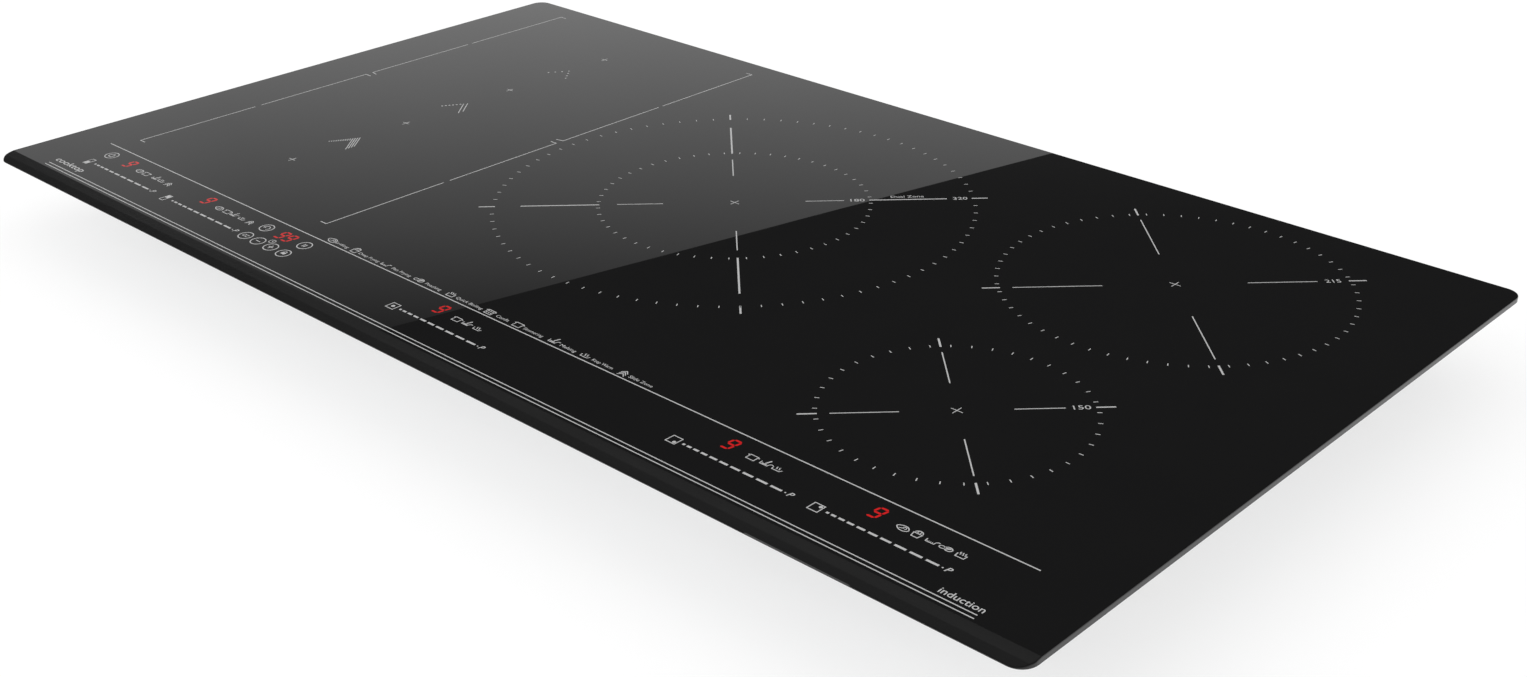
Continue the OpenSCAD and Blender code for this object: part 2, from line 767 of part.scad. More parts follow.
module control_carrier() {
    wall = 1.5;
    color([0.88, 0.88, 0.86]) difference() {
        block(-control_w / 2, control_w / 2, control_y - control_d / 2, control_y + control_d / 2,
            z_control - control_h, z_control);
        block(-control_w / 2 + wall, control_w / 2 - wall, control_y - control_d / 2 + wall,
            control_y + control_d / 2 - wall, z_control - control_h + wall, z_control + 1);
    }
}

module control_board() {
    color([0.1, 0.3, 0.35]) block(-control_w / 2, control_w / 2, control_y - control_d / 2,
        control_y + control_d / 2, z_control, z_control + board_t);
}

// Length of the module at x: the timer's display is a short one
function display_at(x) = x == timer_x ? display_l / 3 : display_l;

module display_modules() {
    color([0.9, 0.9, 0.9]) for (x = DISPLAYS) {
        l = display_at(x);
        block(x - l / 2, x + l / 2, control_y + 1, control_y + 1 + display_w,
            z_control + board_t, z_glass - 0.6);
    }
}

// Sprung contact discs that press the touch fields against the glass
module touch_springs() {
    field_pitch = 10.5;
    disc_t = 0.6;
    disc_r = 4;
    coil_r = 2;
    color([0.7, 0.7, 0.72]) for (x = SLIDERS, i = [-3:3])
        translate([x + i * field_pitch, control_y - control_d / 4, z_control + board_t]) {
            cylinder(h = z_glass - z_control - board_t, r = coil_r);
            translate([0, 0, z_glass - z_control - board_t - disc_t]) cylinder(h = disc_t, r = disc_r);
        }
}

module control_springs() {
    places = [-330, -165, 60, 165, 330];
    spring_l = 34;
    spring_w = 10;
    h = z_control - control_h - z_tray - pan_t;
    color(spring_grey) for (x = places)
        translate([x, control_y, z_tray + pan_t]) leaf_spring(h, spring_l, spring_w);
}

module ribbon_cable() {
    t = 0.8;
    w = 22;
    bend = 14;
    beside = 40;
    y0 = control_y + control_d / 2;
    y1 = y0 + bend;
    y2 = board_y - board_d / 2;
    z_low = z_board + board_t / 2;
    color([0.75, 0.75, 0.78]) translate([slide_x + beside, 0, 0]) rotate([90, 0, 90]) linear_extrude(w)
        polygon([[y0, z_control], [y1, z_control], [y1, z_low], [y2, z_low], [y2, z_low + t],
            [y1 + t, z_low + t], [y1 + t, z_control + t], [y0, z_control + t]]);
}

// ---------- mains terminal ----------

box_y = back_y - pan_t - terminal_d;
z_box = pan_t;
hinge_y = back_y + 3.6;
hinge_z = z_box + terminal_h - 1.2;
ear_t = 3;
knuckle_r = 2.6;

module terminal_box() {
    overcut = 0.01;
    wall = terminal_wall;
    x1 = terminal_x + cover_w;
    color([0.16, 0.16, 0.17]) {
        difference() {
            union() {
                block(terminal_x, terminal_r, box_y, back_y - pan_t, z_box, z_box + terminal_h);
                // mouth that passes through the window
                block(terminal_x, x1, back_y - pan_t - 1, back_y, z_box, z_box + terminal_h);
            }
            block(terminal_x + wall, terminal_r - wall, box_y + wall, back_y - pan_t + overcut,
                z_box + wall, z_box + terminal_h - wall);
            block(terminal_x + wall, x1 - wall, back_y - pan_t - 2, back_y + 1,
                z_box + wall, z_box + terminal_h - wall);
        }
        // ears that hold the cover's pegs
        for (x = [terminal_x, x1 - ear_t]) difference() {
            union() {
                block(x, x + ear_t, back_y - 1, hinge_y, hinge_z - knuckle_r, hinge_z + knuckle_r / 2);
                translate([x, hinge_y, hinge_z]) rotate([0, 90, 0]) cylinder(h = ear_t, r = knuckle_r);
            }
            translate([x - 1, hinge_y, hinge_z]) rotate([0, 90, 0])
                cylinder(h = ear_t + 2, r = peg_r + running_gap);
        }
    }
}

module terminal_cover() {
    x0 = terminal_x + ear_t + slip_gap;
    x1 = terminal_x + cover_w - ear_t - slip_gap;
    plate = 1.8;
    lip = 4.5;
    lip_t = 1.5;
    drop = terminal_h - 5;
    inner_y = hinge_y - knuckle_r + slip_gap;
    color([0.2, 0.2, 0.21]) {
        translate([x0, hinge_y, hinge_z]) rotate([0, 90, 0]) cylinder(h = x1 - x0, r = knuckle_r - slip_gap);
        translate([terminal_x + 0.5, hinge_y, hinge_z]) rotate([0, 90, 0])
            cylinder(h = cover_w - 1, r = peg_r);
        block(x0, x1, inner_y, inner_y + plate, hinge_z - drop, hinge_z);
        // pull lip along the lower edge
        block(x0, x1, inner_y + plate / 2, inner_y + lip, hinge_z - drop, hinge_z - drop + lip_t);
    }
}

block_d = 18;
block_h = 20;
poles = 5;
pole_pitch = 11;
wire_hole_z = 6;
wire_hole_r = 2.6;
screw_hole_z = 14;
screw_hole_r = 3;
block_x = terminal_x + 8;
block_y = box_y + terminal_wall;

module terminal_block() {
    color([0.9, 0.9, 0.86]) difference() {
        block(block_x, block_x + poles * pole_pitch, block_y, block_y + block_d, z_box + terminal_wall,
            z_box + terminal_wall + block_h);
        for (i = [0:poles - 1]) translate([block_x + (i + 0.5) * pole_pitch, block_y + 4, 0]) {
            translate([0, 0, z_box + terminal_wall + wire_hole_z]) rotate([-90, 0, 0])
                cylinder(h = block_d, r = wire_hole_r);
            translate([0, 0, z_box + terminal_wall + screw_hole_z]) rotate([-90, 0, 0])
                cylinder(h = block_d, r = screw_hole_r);
        }
    }
}

module terminal_screws() {
    screw_l = 11;
    screw_r = screw_hole_r - 0.2;
    slot = [7, 0.8, 2];
    color([0.75, 0.65, 0.35]) for (i = [0:poles - 1])
        translate([block_x + (i + 0.5) * pole_pitch, block_y + 4, z_box + terminal_wall + screw_hole_z])
            rotate([-90, 0, 0]) difference() {
                cylinder(h = screw_l, r = screw_r);
                translate([0, 0, screw_l]) cube(slot, center = true);
            }
}

module cable_gland() {
    inner = 7;
    outer = 8;
    flange_t = 2.5;
    color([0.1, 0.1, 0.1]) translate([gland_x, back_y, gland_z]) rotate([-90, 0, 0]) difference() {
        union() {
            translate([0, 0, -pan_t - inner]) cylinder(h = pan_t + inner + outer, r = gland_neck_r);
            cylinder(h = flange_t, r = gland_neck_r + 3);
            translate([0, 0, -pan_t - flange_t - slip_gap]) cylinder(h = flange_t, r = gland_neck_r + 2.5);
        }
        translate([0, 0, -pan_t - inner - 1]) cylinder(h = pan_t + inner + outer + 2, r = cable_r);
    }
}

// Saddle that grips the cable behind the gland
module cable_clamp() {
    x0 = gland_x - cable_r - 6;
    x1 = gland_x + cable_r + 6;
    saddle_w = 10;
    y0 = box_y + terminal_d - 3 * saddle_w;
    y1 = y0 + saddle_w;
    base = 3;
    color([0.85, 0.85, 0.83]) {
        block(x0, x1, y0, y1, z_box + terminal_wall, z_box + terminal_wall + base);
        for (x = [x0 + 3, x1 - 3]) translate([x, (y0 + y1) / 2, z_box + terminal_wall])
            cylinder(h = gland_z + cable_r - z_box - terminal_wall + 2, r = 2);
        difference() {
            block(x0, x1, y0, y1, gland_z + 1, gland_z + cable_r + 3);
            translate([gland_x, y0 - 1, gland_z]) rotate([-90, 0, 0]) cylinder(h = saddle_w + 2, r = cable_r);
        }
    }
}

// ---------- worktop clamps ----------

ear_plate = 1.5;
ear_w = 18;
arm_z = clamp_z + slip_gap;

module clamp_ears() {
    color(zinc) for (c = CLAMPS) difference() {
        union() {
            // tab that carries the arm
            block(c[0] > 0 ? side_x : -clamp_x - clamp_w / 2 + 1, c[0] > 0 ? clamp_x + clamp_w / 2 - 1 : -side_x,
                c[1] - ear_w / 2, c[1] + ear_w / 2, clamp_z - ear_plate, clamp_z);
            // leg welded to the casing's wall
            block(c[0] > 0 ? side_x : -side_x - ear_plate, c[0] > 0 ? side_x + ear_plate : -side_x,
                c[1] - ear_w / 2, c[1] + ear_w / 2, 2, clamp_z);
        }
        translate([c[0] * clamp_x, c[1], 0]) cylinder(h = clamp_z + 1, r = clamp_pin_r + 0.02);
    }
}

module clamp_pins() {
    head_t = 1.5;
    head_r = clamp_pin_r + head_t;
    color(screw_steel) for (c = CLAMPS) translate([c[0] * clamp_x, c[1], 0]) {
        translate([0, 0, clamp_z - ear_plate - head_t]) cylinder(h = head_t, r = head_r);
        translate([0, 0, clamp_z - ear_plate - head_t])
            cylinder(h = ear_plate + head_t + clamp_t + 3 * slip_gap, r = clamp_pin_r);
        translate([0, 0, arm_z + clamp_t + slip_gap]) cylinder(h = head_t, r = head_r);
    }
}

// Arm parked along the casing's side; its screw end lies towards the back
module clamp_arm(c) {
    color([0.7, 0.71, 0.73]) translate([c[0] * clamp_x, c[1], arm_z]) linear_extrude(clamp_t) difference() {
        union() {
            circle(clamp_w / 2);
            translate([-clamp_w / 2, 0]) square([clamp_w, clamp_l]);
            translate([0, clamp_l]) circle(clamp_w / 2);
        }
        circle(clamp_pin_r + running_gap);
        translate([0, clamp_l]) circle(clamp_screw_r + running_gap);
    }
}

module clamp_screw(c) {
    head_h = 3;
    proud = 2;
    drop = clamp_travel + slip_gap + head_h;
    color(screw_steel) translate([c[0] * clamp_x, c[1] + clamp_l, arm_z - drop]) difference() {
        union() {
            cylinder(h = head_h, r = clamp_screw_r + 2);
            cylinder(h = drop + clamp_t + proud, r = clamp_screw_r);
        }
        cube([2 * clamp_screw_r + 2, 1, 2.4], center = true);
    }
}

module clamp_front_left() clamp_arm(CLAMPS[0]);
module clamp_front_right() clamp_arm(CLAMPS[1]);
module clamp_rear_left() clamp_arm(CLAMPS[2]);
module clamp_rear_right() clamp_arm(CLAMPS[3]);
module clamp_screw_front_left() clamp_screw(CLAMPS[0]);
module clamp_screw_front_right() clamp_screw(CLAMPS[1]);
module clamp_screw_rear_left() clamp_screw(CLAMPS[2]);
module clamp_screw_rear_right() clamp_screw(CLAMPS[3]);

glass_top();
edge_gasket();
glass_frame();
base_pan();
casing_screws();
slide_coil_plate();
slide_ferrites();
slide_coil_carriers();
slide_coil_windings();
dual_coil_plate();
dual_ferrites();
dual_coil_carrier();
dual_inner_winding();
dual_outer_winding();
right_coil_plate();
right_ferrites();
rear_right_carrier();
front_right_carrier();
rear_right_winding();
front_right_winding();
insulation_sheets();
coil_sensors();
coil_plate_springs();
coil_plate_posts();
power_boards();
heat_sinks();
power_semiconductors();
resonance_capacitors();
filter_board();
filter_chokes();
filter_capacitors();
relays();
board_feet();
fan_housings();
left_fan_impeller();
right_fan_impeller();
fan_motors();
air_ducts();
control_carrier();
control_board();
display_modules();
touch_springs();
control_springs();
ribbon_cable();
terminal_box();
terminal_block();
terminal_screws();
terminal_cover();
cable_gland();
cable_clamp();
clamp_ears();
clamp_pins();
clamp_front_left();
clamp_front_right();
clamp_rear_left();
clamp_rear_right();
clamp_screw_front_left();
clamp_screw_front_right();
clamp_screw_rear_left();
clamp_screw_rear_right();
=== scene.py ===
# %% [markdown]
# # A built-in induction cooktop
#
# The cooktop is one sheet of black glass-ceramic, 900 mm wide and 510 mm deep, bonded to a
# shallow steel casing. Everything the cook sees is printed on the glass or glows through it.
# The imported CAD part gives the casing, the coils, the boards, the fans and the clamps. This
# script adds the finished glass, the enamel print, the lit digits and a finish for every piece.

import bmesh
import bpy
import numpy as np
from mathutils import Matrix, Vector


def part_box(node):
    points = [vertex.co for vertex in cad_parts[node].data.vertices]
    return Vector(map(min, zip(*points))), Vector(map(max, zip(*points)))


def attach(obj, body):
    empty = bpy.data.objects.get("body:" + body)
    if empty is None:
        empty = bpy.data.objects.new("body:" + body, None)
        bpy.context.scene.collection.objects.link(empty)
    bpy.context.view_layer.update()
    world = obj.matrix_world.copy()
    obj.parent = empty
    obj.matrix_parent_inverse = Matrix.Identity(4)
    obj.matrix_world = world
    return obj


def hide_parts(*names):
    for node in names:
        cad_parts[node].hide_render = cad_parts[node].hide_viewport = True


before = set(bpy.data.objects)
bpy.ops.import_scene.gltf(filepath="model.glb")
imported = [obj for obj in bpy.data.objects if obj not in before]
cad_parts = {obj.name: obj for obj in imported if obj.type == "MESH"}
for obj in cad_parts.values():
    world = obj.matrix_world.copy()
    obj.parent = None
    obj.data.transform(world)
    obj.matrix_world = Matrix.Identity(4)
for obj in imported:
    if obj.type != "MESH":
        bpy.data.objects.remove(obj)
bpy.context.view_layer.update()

# %% [markdown]
# ## Sizes of the glass
#
# Sizes are in millimetres, in the part's own frame: X along the front edge, Y to the back, Z up,
# with the middle of the glass outline at X = Y = 0. They are turned into metres in one place,
# where a mesh is made, so that every number below can be checked with a ruler.

# %% Sizes shared by the glass and its print
MM = 0.001
glass_low, glass_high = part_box("glass_top")
HALF_W = glass_high.x / MM
HALF_D = glass_high.y / MM
GLASS_BOTTOM = glass_low.z / MM
GLASS_TOP = glass_high.z / MM
CREST_Y = -243.0  # the front bevel starts here and runs out to the front edge
BEVEL_DROP = 3.0
CORNER_R = 10.0
print(f"glass {2 * HALF_W:.0f} x {2 * HALF_D:.0f} mm, top at {GLASS_TOP:.0f} mm")


def unit(v):
    """Vectors made one long, whatever the number of leading axes."""
    return v / np.linalg.norm(v, axis=-1, keepdims=True)


def add_mesh(name, points, faces, body="hob", slot=None):
    """One object from points in millimetres and faces as rows of indices."""
    mesh = bpy.data.meshes.new(name)
    mesh.from_pydata((np.asarray(points) * MM).tolist(), [], [list(f) for f in faces])
    mesh.validate()
    obj = bpy.data.objects.new(name, mesh)
    bpy.context.scene.collection.objects.link(obj)
    if body:
        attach(obj, body)
    print(f"{name}: {len(mesh.vertices)} points, {len(mesh.polygons)} faces")
    return obj


# %% [markdown]
# ## The glass-ceramic plate
#
# Real plates are rolled, cut to size and ground on a wheel. The long sides keep a fine ground
# arris top and bottom, which catches the light as a hairline. The front edge is ground back to
# a bevel 12 mm wide in two facets, so that a wrist or a sleeve slides over it.
#
# The plate is a stack of outlines. Each outline is the rounded rectangle moved inwards by an
# inset, and each point takes its height from the bevel's profile at its own Y. Points stand on
# the crest and on the facet line at both sides, so that the flat faces stay truly flat.

# %% The outlines
CORNER_STEPS = 12
FACET_Y = -249.5
FACET_DROP = 1.1


def outline(inset):
    """A rounded rectangle moved inwards by the inset, counter-clockwise from the front right.

    Each corner is a quarter circle about its own centre, CORNER_R from both sides, with the
    radius reduced by the inset. Each side carries one more point, on the crest.
    """
    r = CORNER_R - inset
    turn = np.linspace(0, np.pi / 2, CORNER_STEPS)
    cx, cy = HALF_W - CORNER_R, HALF_D - CORNER_R
    side = HALF_W - inset
    arcs = []
    for start, sx, sy in ((-0.5, 1, -1), (0.0, 1, 1), (0.5, -1, 1), (1.0, -1, -1)):
        a = turn + start * np.pi
        arcs.append(np.stack([sx * cx + r * np.cos(a), sy * cy + r * np.sin(a)], -1))
    return np.concatenate(
        [
            arcs[0],
            [[side, CREST_Y]],
            arcs[1],
            arcs[2],
            [[-side, CREST_Y]],
            arcs[3],
        ]
    )


def bevel_height(y):
    """Height of the upper face: level behind the crest, then down two straight facets."""
    return np.interp(
        y,
        [-HALF_D, FACET_Y, CREST_Y],
        [GLASS_TOP - BEVEL_DROP, GLASS_TOP - FACET_DROP, GLASS_TOP],
    )


def insert_on_line(ring, y):
    """The ring with a point added wherever it crosses the level y, on both sides."""
    nxt = np.roll(ring, -1, 0)
    crosses = (ring[:, 1] - y) * (nxt[:, 1] - y) < 0
    t = (y - ring[crosses, 1]) / (nxt[crosses, 1] - ring[crosses, 1])
    new = ring[crosses] + t[:, None] * (nxt[crosses] - ring[crosses])
    return np.insert(ring, np.flatnonzero(crosses) + 1, new, axis=0)


# %% [markdown]
# The rings from bottom to top: a small chamfer under the edge, a vertical land, and two short
# steps that round the upper arris over, the second one flatter than the first.

# %% The plate
# Each ring has its inset, the face its height is taken from, and its distance from that face.
RINGS = [
    (0.6, "bottom", 0.0),
    (0.0, "bottom", 0.6),
    (0.0, "top", 0.55),
    (0.16, "top", 0.16),
    (0.55, "top", 0.0),
]
ON_LEVEL = 1e-6  # a point this near to a level counts as standing on it
rings = []
for inset, level, distance in RINGS:
    ring = insert_on_line(outline(inset), FACET_Y)
    if level == "bottom":
        z = np.full(len(ring), GLASS_BOTTOM + distance)
    else:
        z = bevel_height(ring[:, 1]) - distance
    rings.append(np.column_stack([ring, z]))
rings = np.array(rings)
n_ring = rings.shape[1]
k = np.arange(n_ring)
k_next = (k + 1) % n_ring
faces = []
for i in range(len(rings) - 1):
    lower, upper = i * n_ring, (i + 1) * n_ring
    faces += np.column_stack([lower + k, lower + k_next, upper + k_next, upper + k]).tolist()
faces.append(k[::-1].tolist())


def part_of_top(low, high):
    """The points of the uppermost ring whose Y lies between two levels, as one flat face."""
    y = rings[-1, :, 1]
    inside = (y >= low - ON_LEVEL) & (y <= high + ON_LEVEL)
    first_point = (len(rings) - 1) * n_ring
    return (first_point + np.flatnonzero(inside)).tolist()


LOWER_FACET, UPPER_FACET = len(faces), len(faces) + 1
faces += [
    part_of_top(-HALF_D, FACET_Y),
    part_of_top(FACET_Y, CREST_Y),
    part_of_top(CREST_Y, HALF_D),
]
plate = add_mesh("glass_plate", rings.reshape(-1, 3), faces, slot="black_glass")
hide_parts("glass_top")

# %% [markdown]
# ## Tools for the print
#
# The markings are screen-printed enamel, fired into the glass, a few hundredths of a millimetre
# thick. Here each mark is a thin closed prism that starts just inside the glass and stands a
# little proud of it: a ribbon that follows a path, or a filled plate. Both are worked out for a
# whole family of equal marks at once.

# %% Ribbons, plates and curves
PRINT_SUNK = 0.01
PRINT_PROUD = 0.03
PRINT_LOW = GLASS_TOP - PRINT_SUNK
PRINT_HIGH = GLASS_TOP + PRINT_PROUD
SHARPEST_MITRE = 0.5  # cosine past which a mitre grows no longer


def ribbon(paths, width, closed=False):
    """Closed prisms of constant width along n paths of k points, given as (n, k, 2) or (k, 2).

    Each point moves half a width to both sides along the mitre of its two segments, which is
    the sum of their unit directions turned a right angle and divided by the mitre's cosine.
    """
    p = np.asarray(paths, float)
    p = p[None] if p.ndim == 2 else p
    n, k = p.shape[:2]
    ahead = np.roll(p, -1, 1) - p
    if not closed:
        ahead[:, -1] = ahead[:, -2]
    behind = np.roll(ahead, 1, 1)
    if not closed:
        behind[:, 0] = ahead[:, 0]
    ahead, behind = unit(ahead), unit(behind)
    mitre = unit(ahead + behind)
    across = np.stack([-mitre[..., 1], mitre[..., 0]], -1)
    square = np.stack([-ahead[..., 1], ahead[..., 0]], -1)
    reach = width / 2 / np.clip((across * square).sum(-1, keepdims=True), SHARPEST_MITRE, 1)
    left, right = p + across * reach, p - across * reach
    points = np.empty((n, k, 4, 3))
    points[:, :, 0, :2] = points[:, :, 2, :2] = left
    points[:, :, 1, :2] = points[:, :, 3, :2] = right
    points[:, :, :2, 2] = PRINT_HIGH
    points[:, :, 2:, 2] = PRINT_LOW
    j = np.arange(k if closed else k - 1)
    here, there = 4 * j, 4 * ((j + 1) % k)
    quads = np.concatenate(
        [
            np.column_stack([here + 1, there + 1, there, here]),
            np.column_stack([here + 2, there + 2, there + 3, here + 3]),
            np.column_stack([here, there, there + 2, here + 2]),
            np.column_stack([here + 3, there + 3, there + 1, here + 1]),
        ]
    )
    if not closed:
        end = 4 * (k - 1)
        quads = np.concatenate([quads, [[0, 2, 3, 1], [end, end + 1, end + 3, end + 2]]])
    all_quads = (quads[None] + 4 * k * np.arange(n)[:, None, None]).reshape(-1, 4)
    return points.reshape(-1, 3), all_quads.tolist()


def plates(outlines):
    """Closed prisms over n outlines of k points each, counter-clockwise, as (n, k, 2)."""
    p = np.asarray(outlines, float)
    p = p[None] if p.ndim == 2 else p
    n, k = p.shape[:2]
    points = np.empty((n, 2, k, 3))
    points[..., :2] = p[:, None]
    points[:, 0, :, 2] = PRINT_HIGH
    points[:, 1, :, 2] = PRINT_LOW
    j = np.arange(k)
    sides = np.column_stack([j + k, (j + 1) % k + k, (j + 1) % k, j])
    faces = []
    for first in 2 * k * np.arange(n):
        faces += [(first + j).tolist(), (first + k + j[::-1]).tolist()]
        faces += (first + sides).tolist()
    return points.reshape(-1, 3), faces


def joined(parts):
    """Several (points, faces) pairs as one pair."""
    points, faces, start = [], [], 0
    for p, f in parts:
        points.append(p)
        faces += [[start + i for i in face] for face in f]
        start += len(p)
    return np.concatenate(points), faces


def arc(radius, start=0.0, end=360.0, steps=32, centre=(0, 0)):
    """Points on a circle between two angles in degrees. A full turn leaves out the last one."""
    a = np.radians(np.linspace(start, end, steps, endpoint=abs(end - start) < 360))
    return np.column_stack([np.cos(a), np.sin(a)]) * radius + centre


def rays(centre, start, end, angles):
    """Straight paths from one radius to another, one for each angle in degrees."""
    a = np.radians(np.asarray(angles, float))
    direction = np.stack([np.cos(a), np.sin(a)], -1)[:, None]
    return np.array(centre) + direction * np.array([start, end])[None, :, None]


def placed(shapes, x, y, scale=1.0):
    """Icon strokes moved to a place. A stroke is (points, width) or (points, width, closed)."""
    out = []
    for points, width, *closed in shapes:
        p = np.asarray(points, float) * scale + (x, y)
        out.append(plates(p) if width is None else ribbon(p, width, bool(closed and closed[0])))
    return out


# %% [markdown]
# Lettering is set in a plain sans serif. Each word is turned into a mesh, its loose halves are
# welded, and its own points are then scaled, turned and moved, so that the finished object sits
# at the origin like every other one.

# %% Lettering
LETTER_CURVE_STEPS = 3
LETTER_DEPTH = 0.05  # only tells upper points from lower ones
LETTER_WELD = 1e-4
CAPITAL = 0.73  # height of a capital of this font, at size one


def word(text, x, y, height, angle=0.0, length=None, bold=0.0, slant=0.0):
    """A word as points and faces in millimetres.

    height is the size of a capital. A length stretches the word along its line to fit.
    """
    curve = bpy.data.curves.new("word", "FONT")
    curve.body, curve.align_x, curve.align_y = text, "CENTER", "CENTER"
    curve.resolution_u, curve.offset, curve.shear = LETTER_CURVE_STEPS, bold, slant
    curve.extrude = LETTER_DEPTH
    letter = bpy.data.objects.new("word", curve)
    bpy.context.scene.collection.objects.link(letter)
    bpy.context.view_layer.update()
    mesh = bpy.data.meshes.new_from_object(letter)
    solid = bmesh.new()
    solid.from_mesh(mesh)
    bmesh.ops.remove_doubles(solid, verts=solid.verts, dist=LETTER_WELD)
    bmesh.ops.recalc_face_normals(solid, faces=solid.faces)
    points = np.array([v.co for v in solid.verts])
    solid.verts.index_update()
    faces = [[v.index for v in f.verts] for f in solid.faces]
    solid.free()
    bpy.data.objects.remove(letter)
    bpy.data.meshes.remove(mesh)
    bpy.data.curves.remove(curve)
    flat = points[:, :2].copy()
    scale = height / CAPITAL
    stretch = length / (np.ptp(flat[:, 0]) * scale) if length else 1.0
    flat *= [scale * stretch, scale]
    c, s = np.cos(np.radians(angle)), np.sin(np.radians(angle))
    place = flat @ np.array([[c, s], [-s, c]]) + (x, y)
    z = np.where(points[:, 2] > 0, PRINT_HIGH, PRINT_LOW)
    return np.column_stack([place, z]), faces


# %% [markdown]
# ## The cooking zones
#
# A zone is marked only by what the cook needs: a small cross where the middle of the pan goes,
# four fine arms at the diagonals, and a circle of short ticks as wide as the largest pan. The
# tick circles have the nominal diameters, 180 and 320 mm for the double zone in the middle,
# 215 and 150 mm for the two on the right.

# %% Zone rings, arms and crosses
TICK = 2.7
TICK_W = 0.6
ARM_W = 0.75
BOLD_ARM_W = 1.2
DIAGONALS = np.array([45.0, 135.0, 225.0, 315.0])
ZONES = {
    "dual_zone_marks": (-1.4, 35.1),
    "rear_right_zone_marks": (287.1, 123.0),
    "front_right_zone_marks": (286.9, -93.2),
}
CROSS = 8.0
CROSS_W = 0.55
NUMBER_H, NUMBER_L = 4.6, 9.6


def tick_circle(centre, radius, count, phase=0.0, leave_out=()):
    """Radial ticks that start on a circle, evenly spaced, except at the angles left out."""
    angles = (phase + np.arange(count) * 360 / count) % 360
    keep = np.ones(count, bool)
    for gap in leave_out:
        keep &= np.abs(angles - gap) > 1
    return ribbon(rays(centre, radius, radius + TICK, angles[keep]), TICK_W)


def cross(centre, size=CROSS, width=CROSS_W):
    """Two bars and a hub that don't overlap, drawn as one outline with twelve corners."""
    h, w = size / 2, width / 2
    corners = [
        (w, -h), (w, -w), (h, -w), (h, w), (w, w), (w, h),
        (-w, h), (-w, w), (-h, w), (-h, -w), (-w, -w), (-w, -h),
    ]  # fmt: skip
    return plates(np.array(corners) + centre)


dual, rear, front = ZONES.values()
marks = {
    "dual_zone_marks": [
        cross(dual),
        tick_circle(dual, 90, 52),
        tick_circle(dual, 160, 80, leave_out=DIAGONALS[:3]),
        ribbon(rays(dual, 48, 78.7, DIAGONALS[1:]), ARM_W),
        ribbon(rays(dual, 47.5, 73.6, DIAGONALS[:1]), ARM_W),
        ribbon(rays(dual, 90.5, 143, DIAGONALS), BOLD_ARM_W),
        ribbon(rays(dual, 160, 170.8, DIAGONALS), BOLD_ARM_W),
        word("180", dual[0] + 58.0, dual[1] + 58.0, NUMBER_H, 45, length=NUMBER_L),
        word("320", dual[0] + 107.5, dual[1] + 107.5, NUMBER_H, 45, length=NUMBER_L),
        word("Dual Zone", dual[0] + 79.0, dual[1] + 86.0, 3.6, 45, length=22.5),
    ],
    "rear_right_zone_marks": [
        cross(rear),
        tick_circle(rear, 107.5, 60),
        ribbon(rays(rear, 44.8, 100, DIAGONALS[1:]), ARM_W),
        ribbon(rays(rear, 45, 88.2, DIAGONALS[:1]), ARM_W),
        ribbon(rays(rear, 107.7, 118.8, DIAGONALS), BOLD_ARM_W),
        word("215", rear[0] + 69.3, rear[1] + 69.3, NUMBER_H, 45, length=NUMBER_L),
    ],
    "front_right_zone_marks": [
        cross(front),
        tick_circle(front, 75, 40, phase=4.5),
        ribbon(rays(front, 31.2, 68.5, DIAGONALS[1:]), ARM_W),
        ribbon(rays(front, 31, 58.8, DIAGONALS[:1]), ARM_W),
        ribbon(rays(front, 75.3, 86.1, DIAGONALS), BOLD_ARM_W),
        word("150", front[0] + 47.4, front[1] + 47.4, NUMBER_H, 45, length=NUMBER_L),
    ],
}
prints = [add_mesh(name, *joined(parts), slot="black_glass") for name, parts in marks.items()]

# %% [markdown]
# ## The slide zone
#
# The left third is one long zone over four oblong coils. Two interrupted lines bound it, each
# with a short tick turned inwards where a section begins or ends. Crosses mark the coils, and
# between them chevrons point to the back: the strokes thin out into dots, as if fading.

# %% Slide zone marks
SLIDE_LEFT, SLIDE_RIGHT, SLIDE_MIDDLE = -400.4, -173.6, -287.4
SECTIONS = [(-171.0, -74.3), (-68.9, 28.2), (33.5, 131.0), (135.5, 234.0)]
RETURN_TICK = 6.0
SLIDE_W = 0.75
SLIDE_COIL_Y = (-118.9, -19.2, 80.8, 180.4)
SLIDE_CROSS, SLIDE_CROSS_W = 6.6, 0.6
slide_parts = []
for x, inward in ((SLIDE_LEFT, 1), (SLIDE_RIGHT, -1)):
    tip = x + inward * RETURN_TICK
    paths = [
        [(tip, SECTIONS[0][0]), (x, SECTIONS[0][0]), (x, SECTIONS[0][1])],
        [(x, SECTIONS[1][0]), (x, SECTIONS[1][1]), (tip, SECTIONS[1][1])],
        [(tip, SECTIONS[2][0]), (x, SECTIONS[2][0] + 1.2), (x, SECTIONS[2][1])],
        [(x, SECTIONS[3][0]), (x, SECTIONS[3][1]), (tip, SECTIONS[3][1])],
    ]
    slide_parts.append(ribbon(np.array(paths), SLIDE_W))
for y in SLIDE_COIL_Y:
    slide_parts.append(cross((SLIDE_MIDDLE, y), SLIDE_CROSS, SLIDE_CROSS_W))


LEFT_ARM = np.array([-11.0, -19.0])  # from the tip of a chevron to the end of its left arm
RIGHT_REACH = 11.5
HATCH = unit(np.array([11.5, -13.8]))
HATCH_W = 0.65


def hatch(tip, back, reach=None):
    """Parallel strokes that start some millimetres back from the tip along the left arm.

    Without a reach of their own they run on until they are as far right as the right arm.
    """
    starts = tip + np.asarray(back, float)[:, None] * unit(LEFT_ARM)
    if reach is None:
        reach = (tip[0] + RIGHT_REACH - starts[:, 0]) / HATCH[0]
    return ribbon(np.stack([starts, starts + np.asarray(reach)[:, None] * HATCH], 1), HATCH_W)


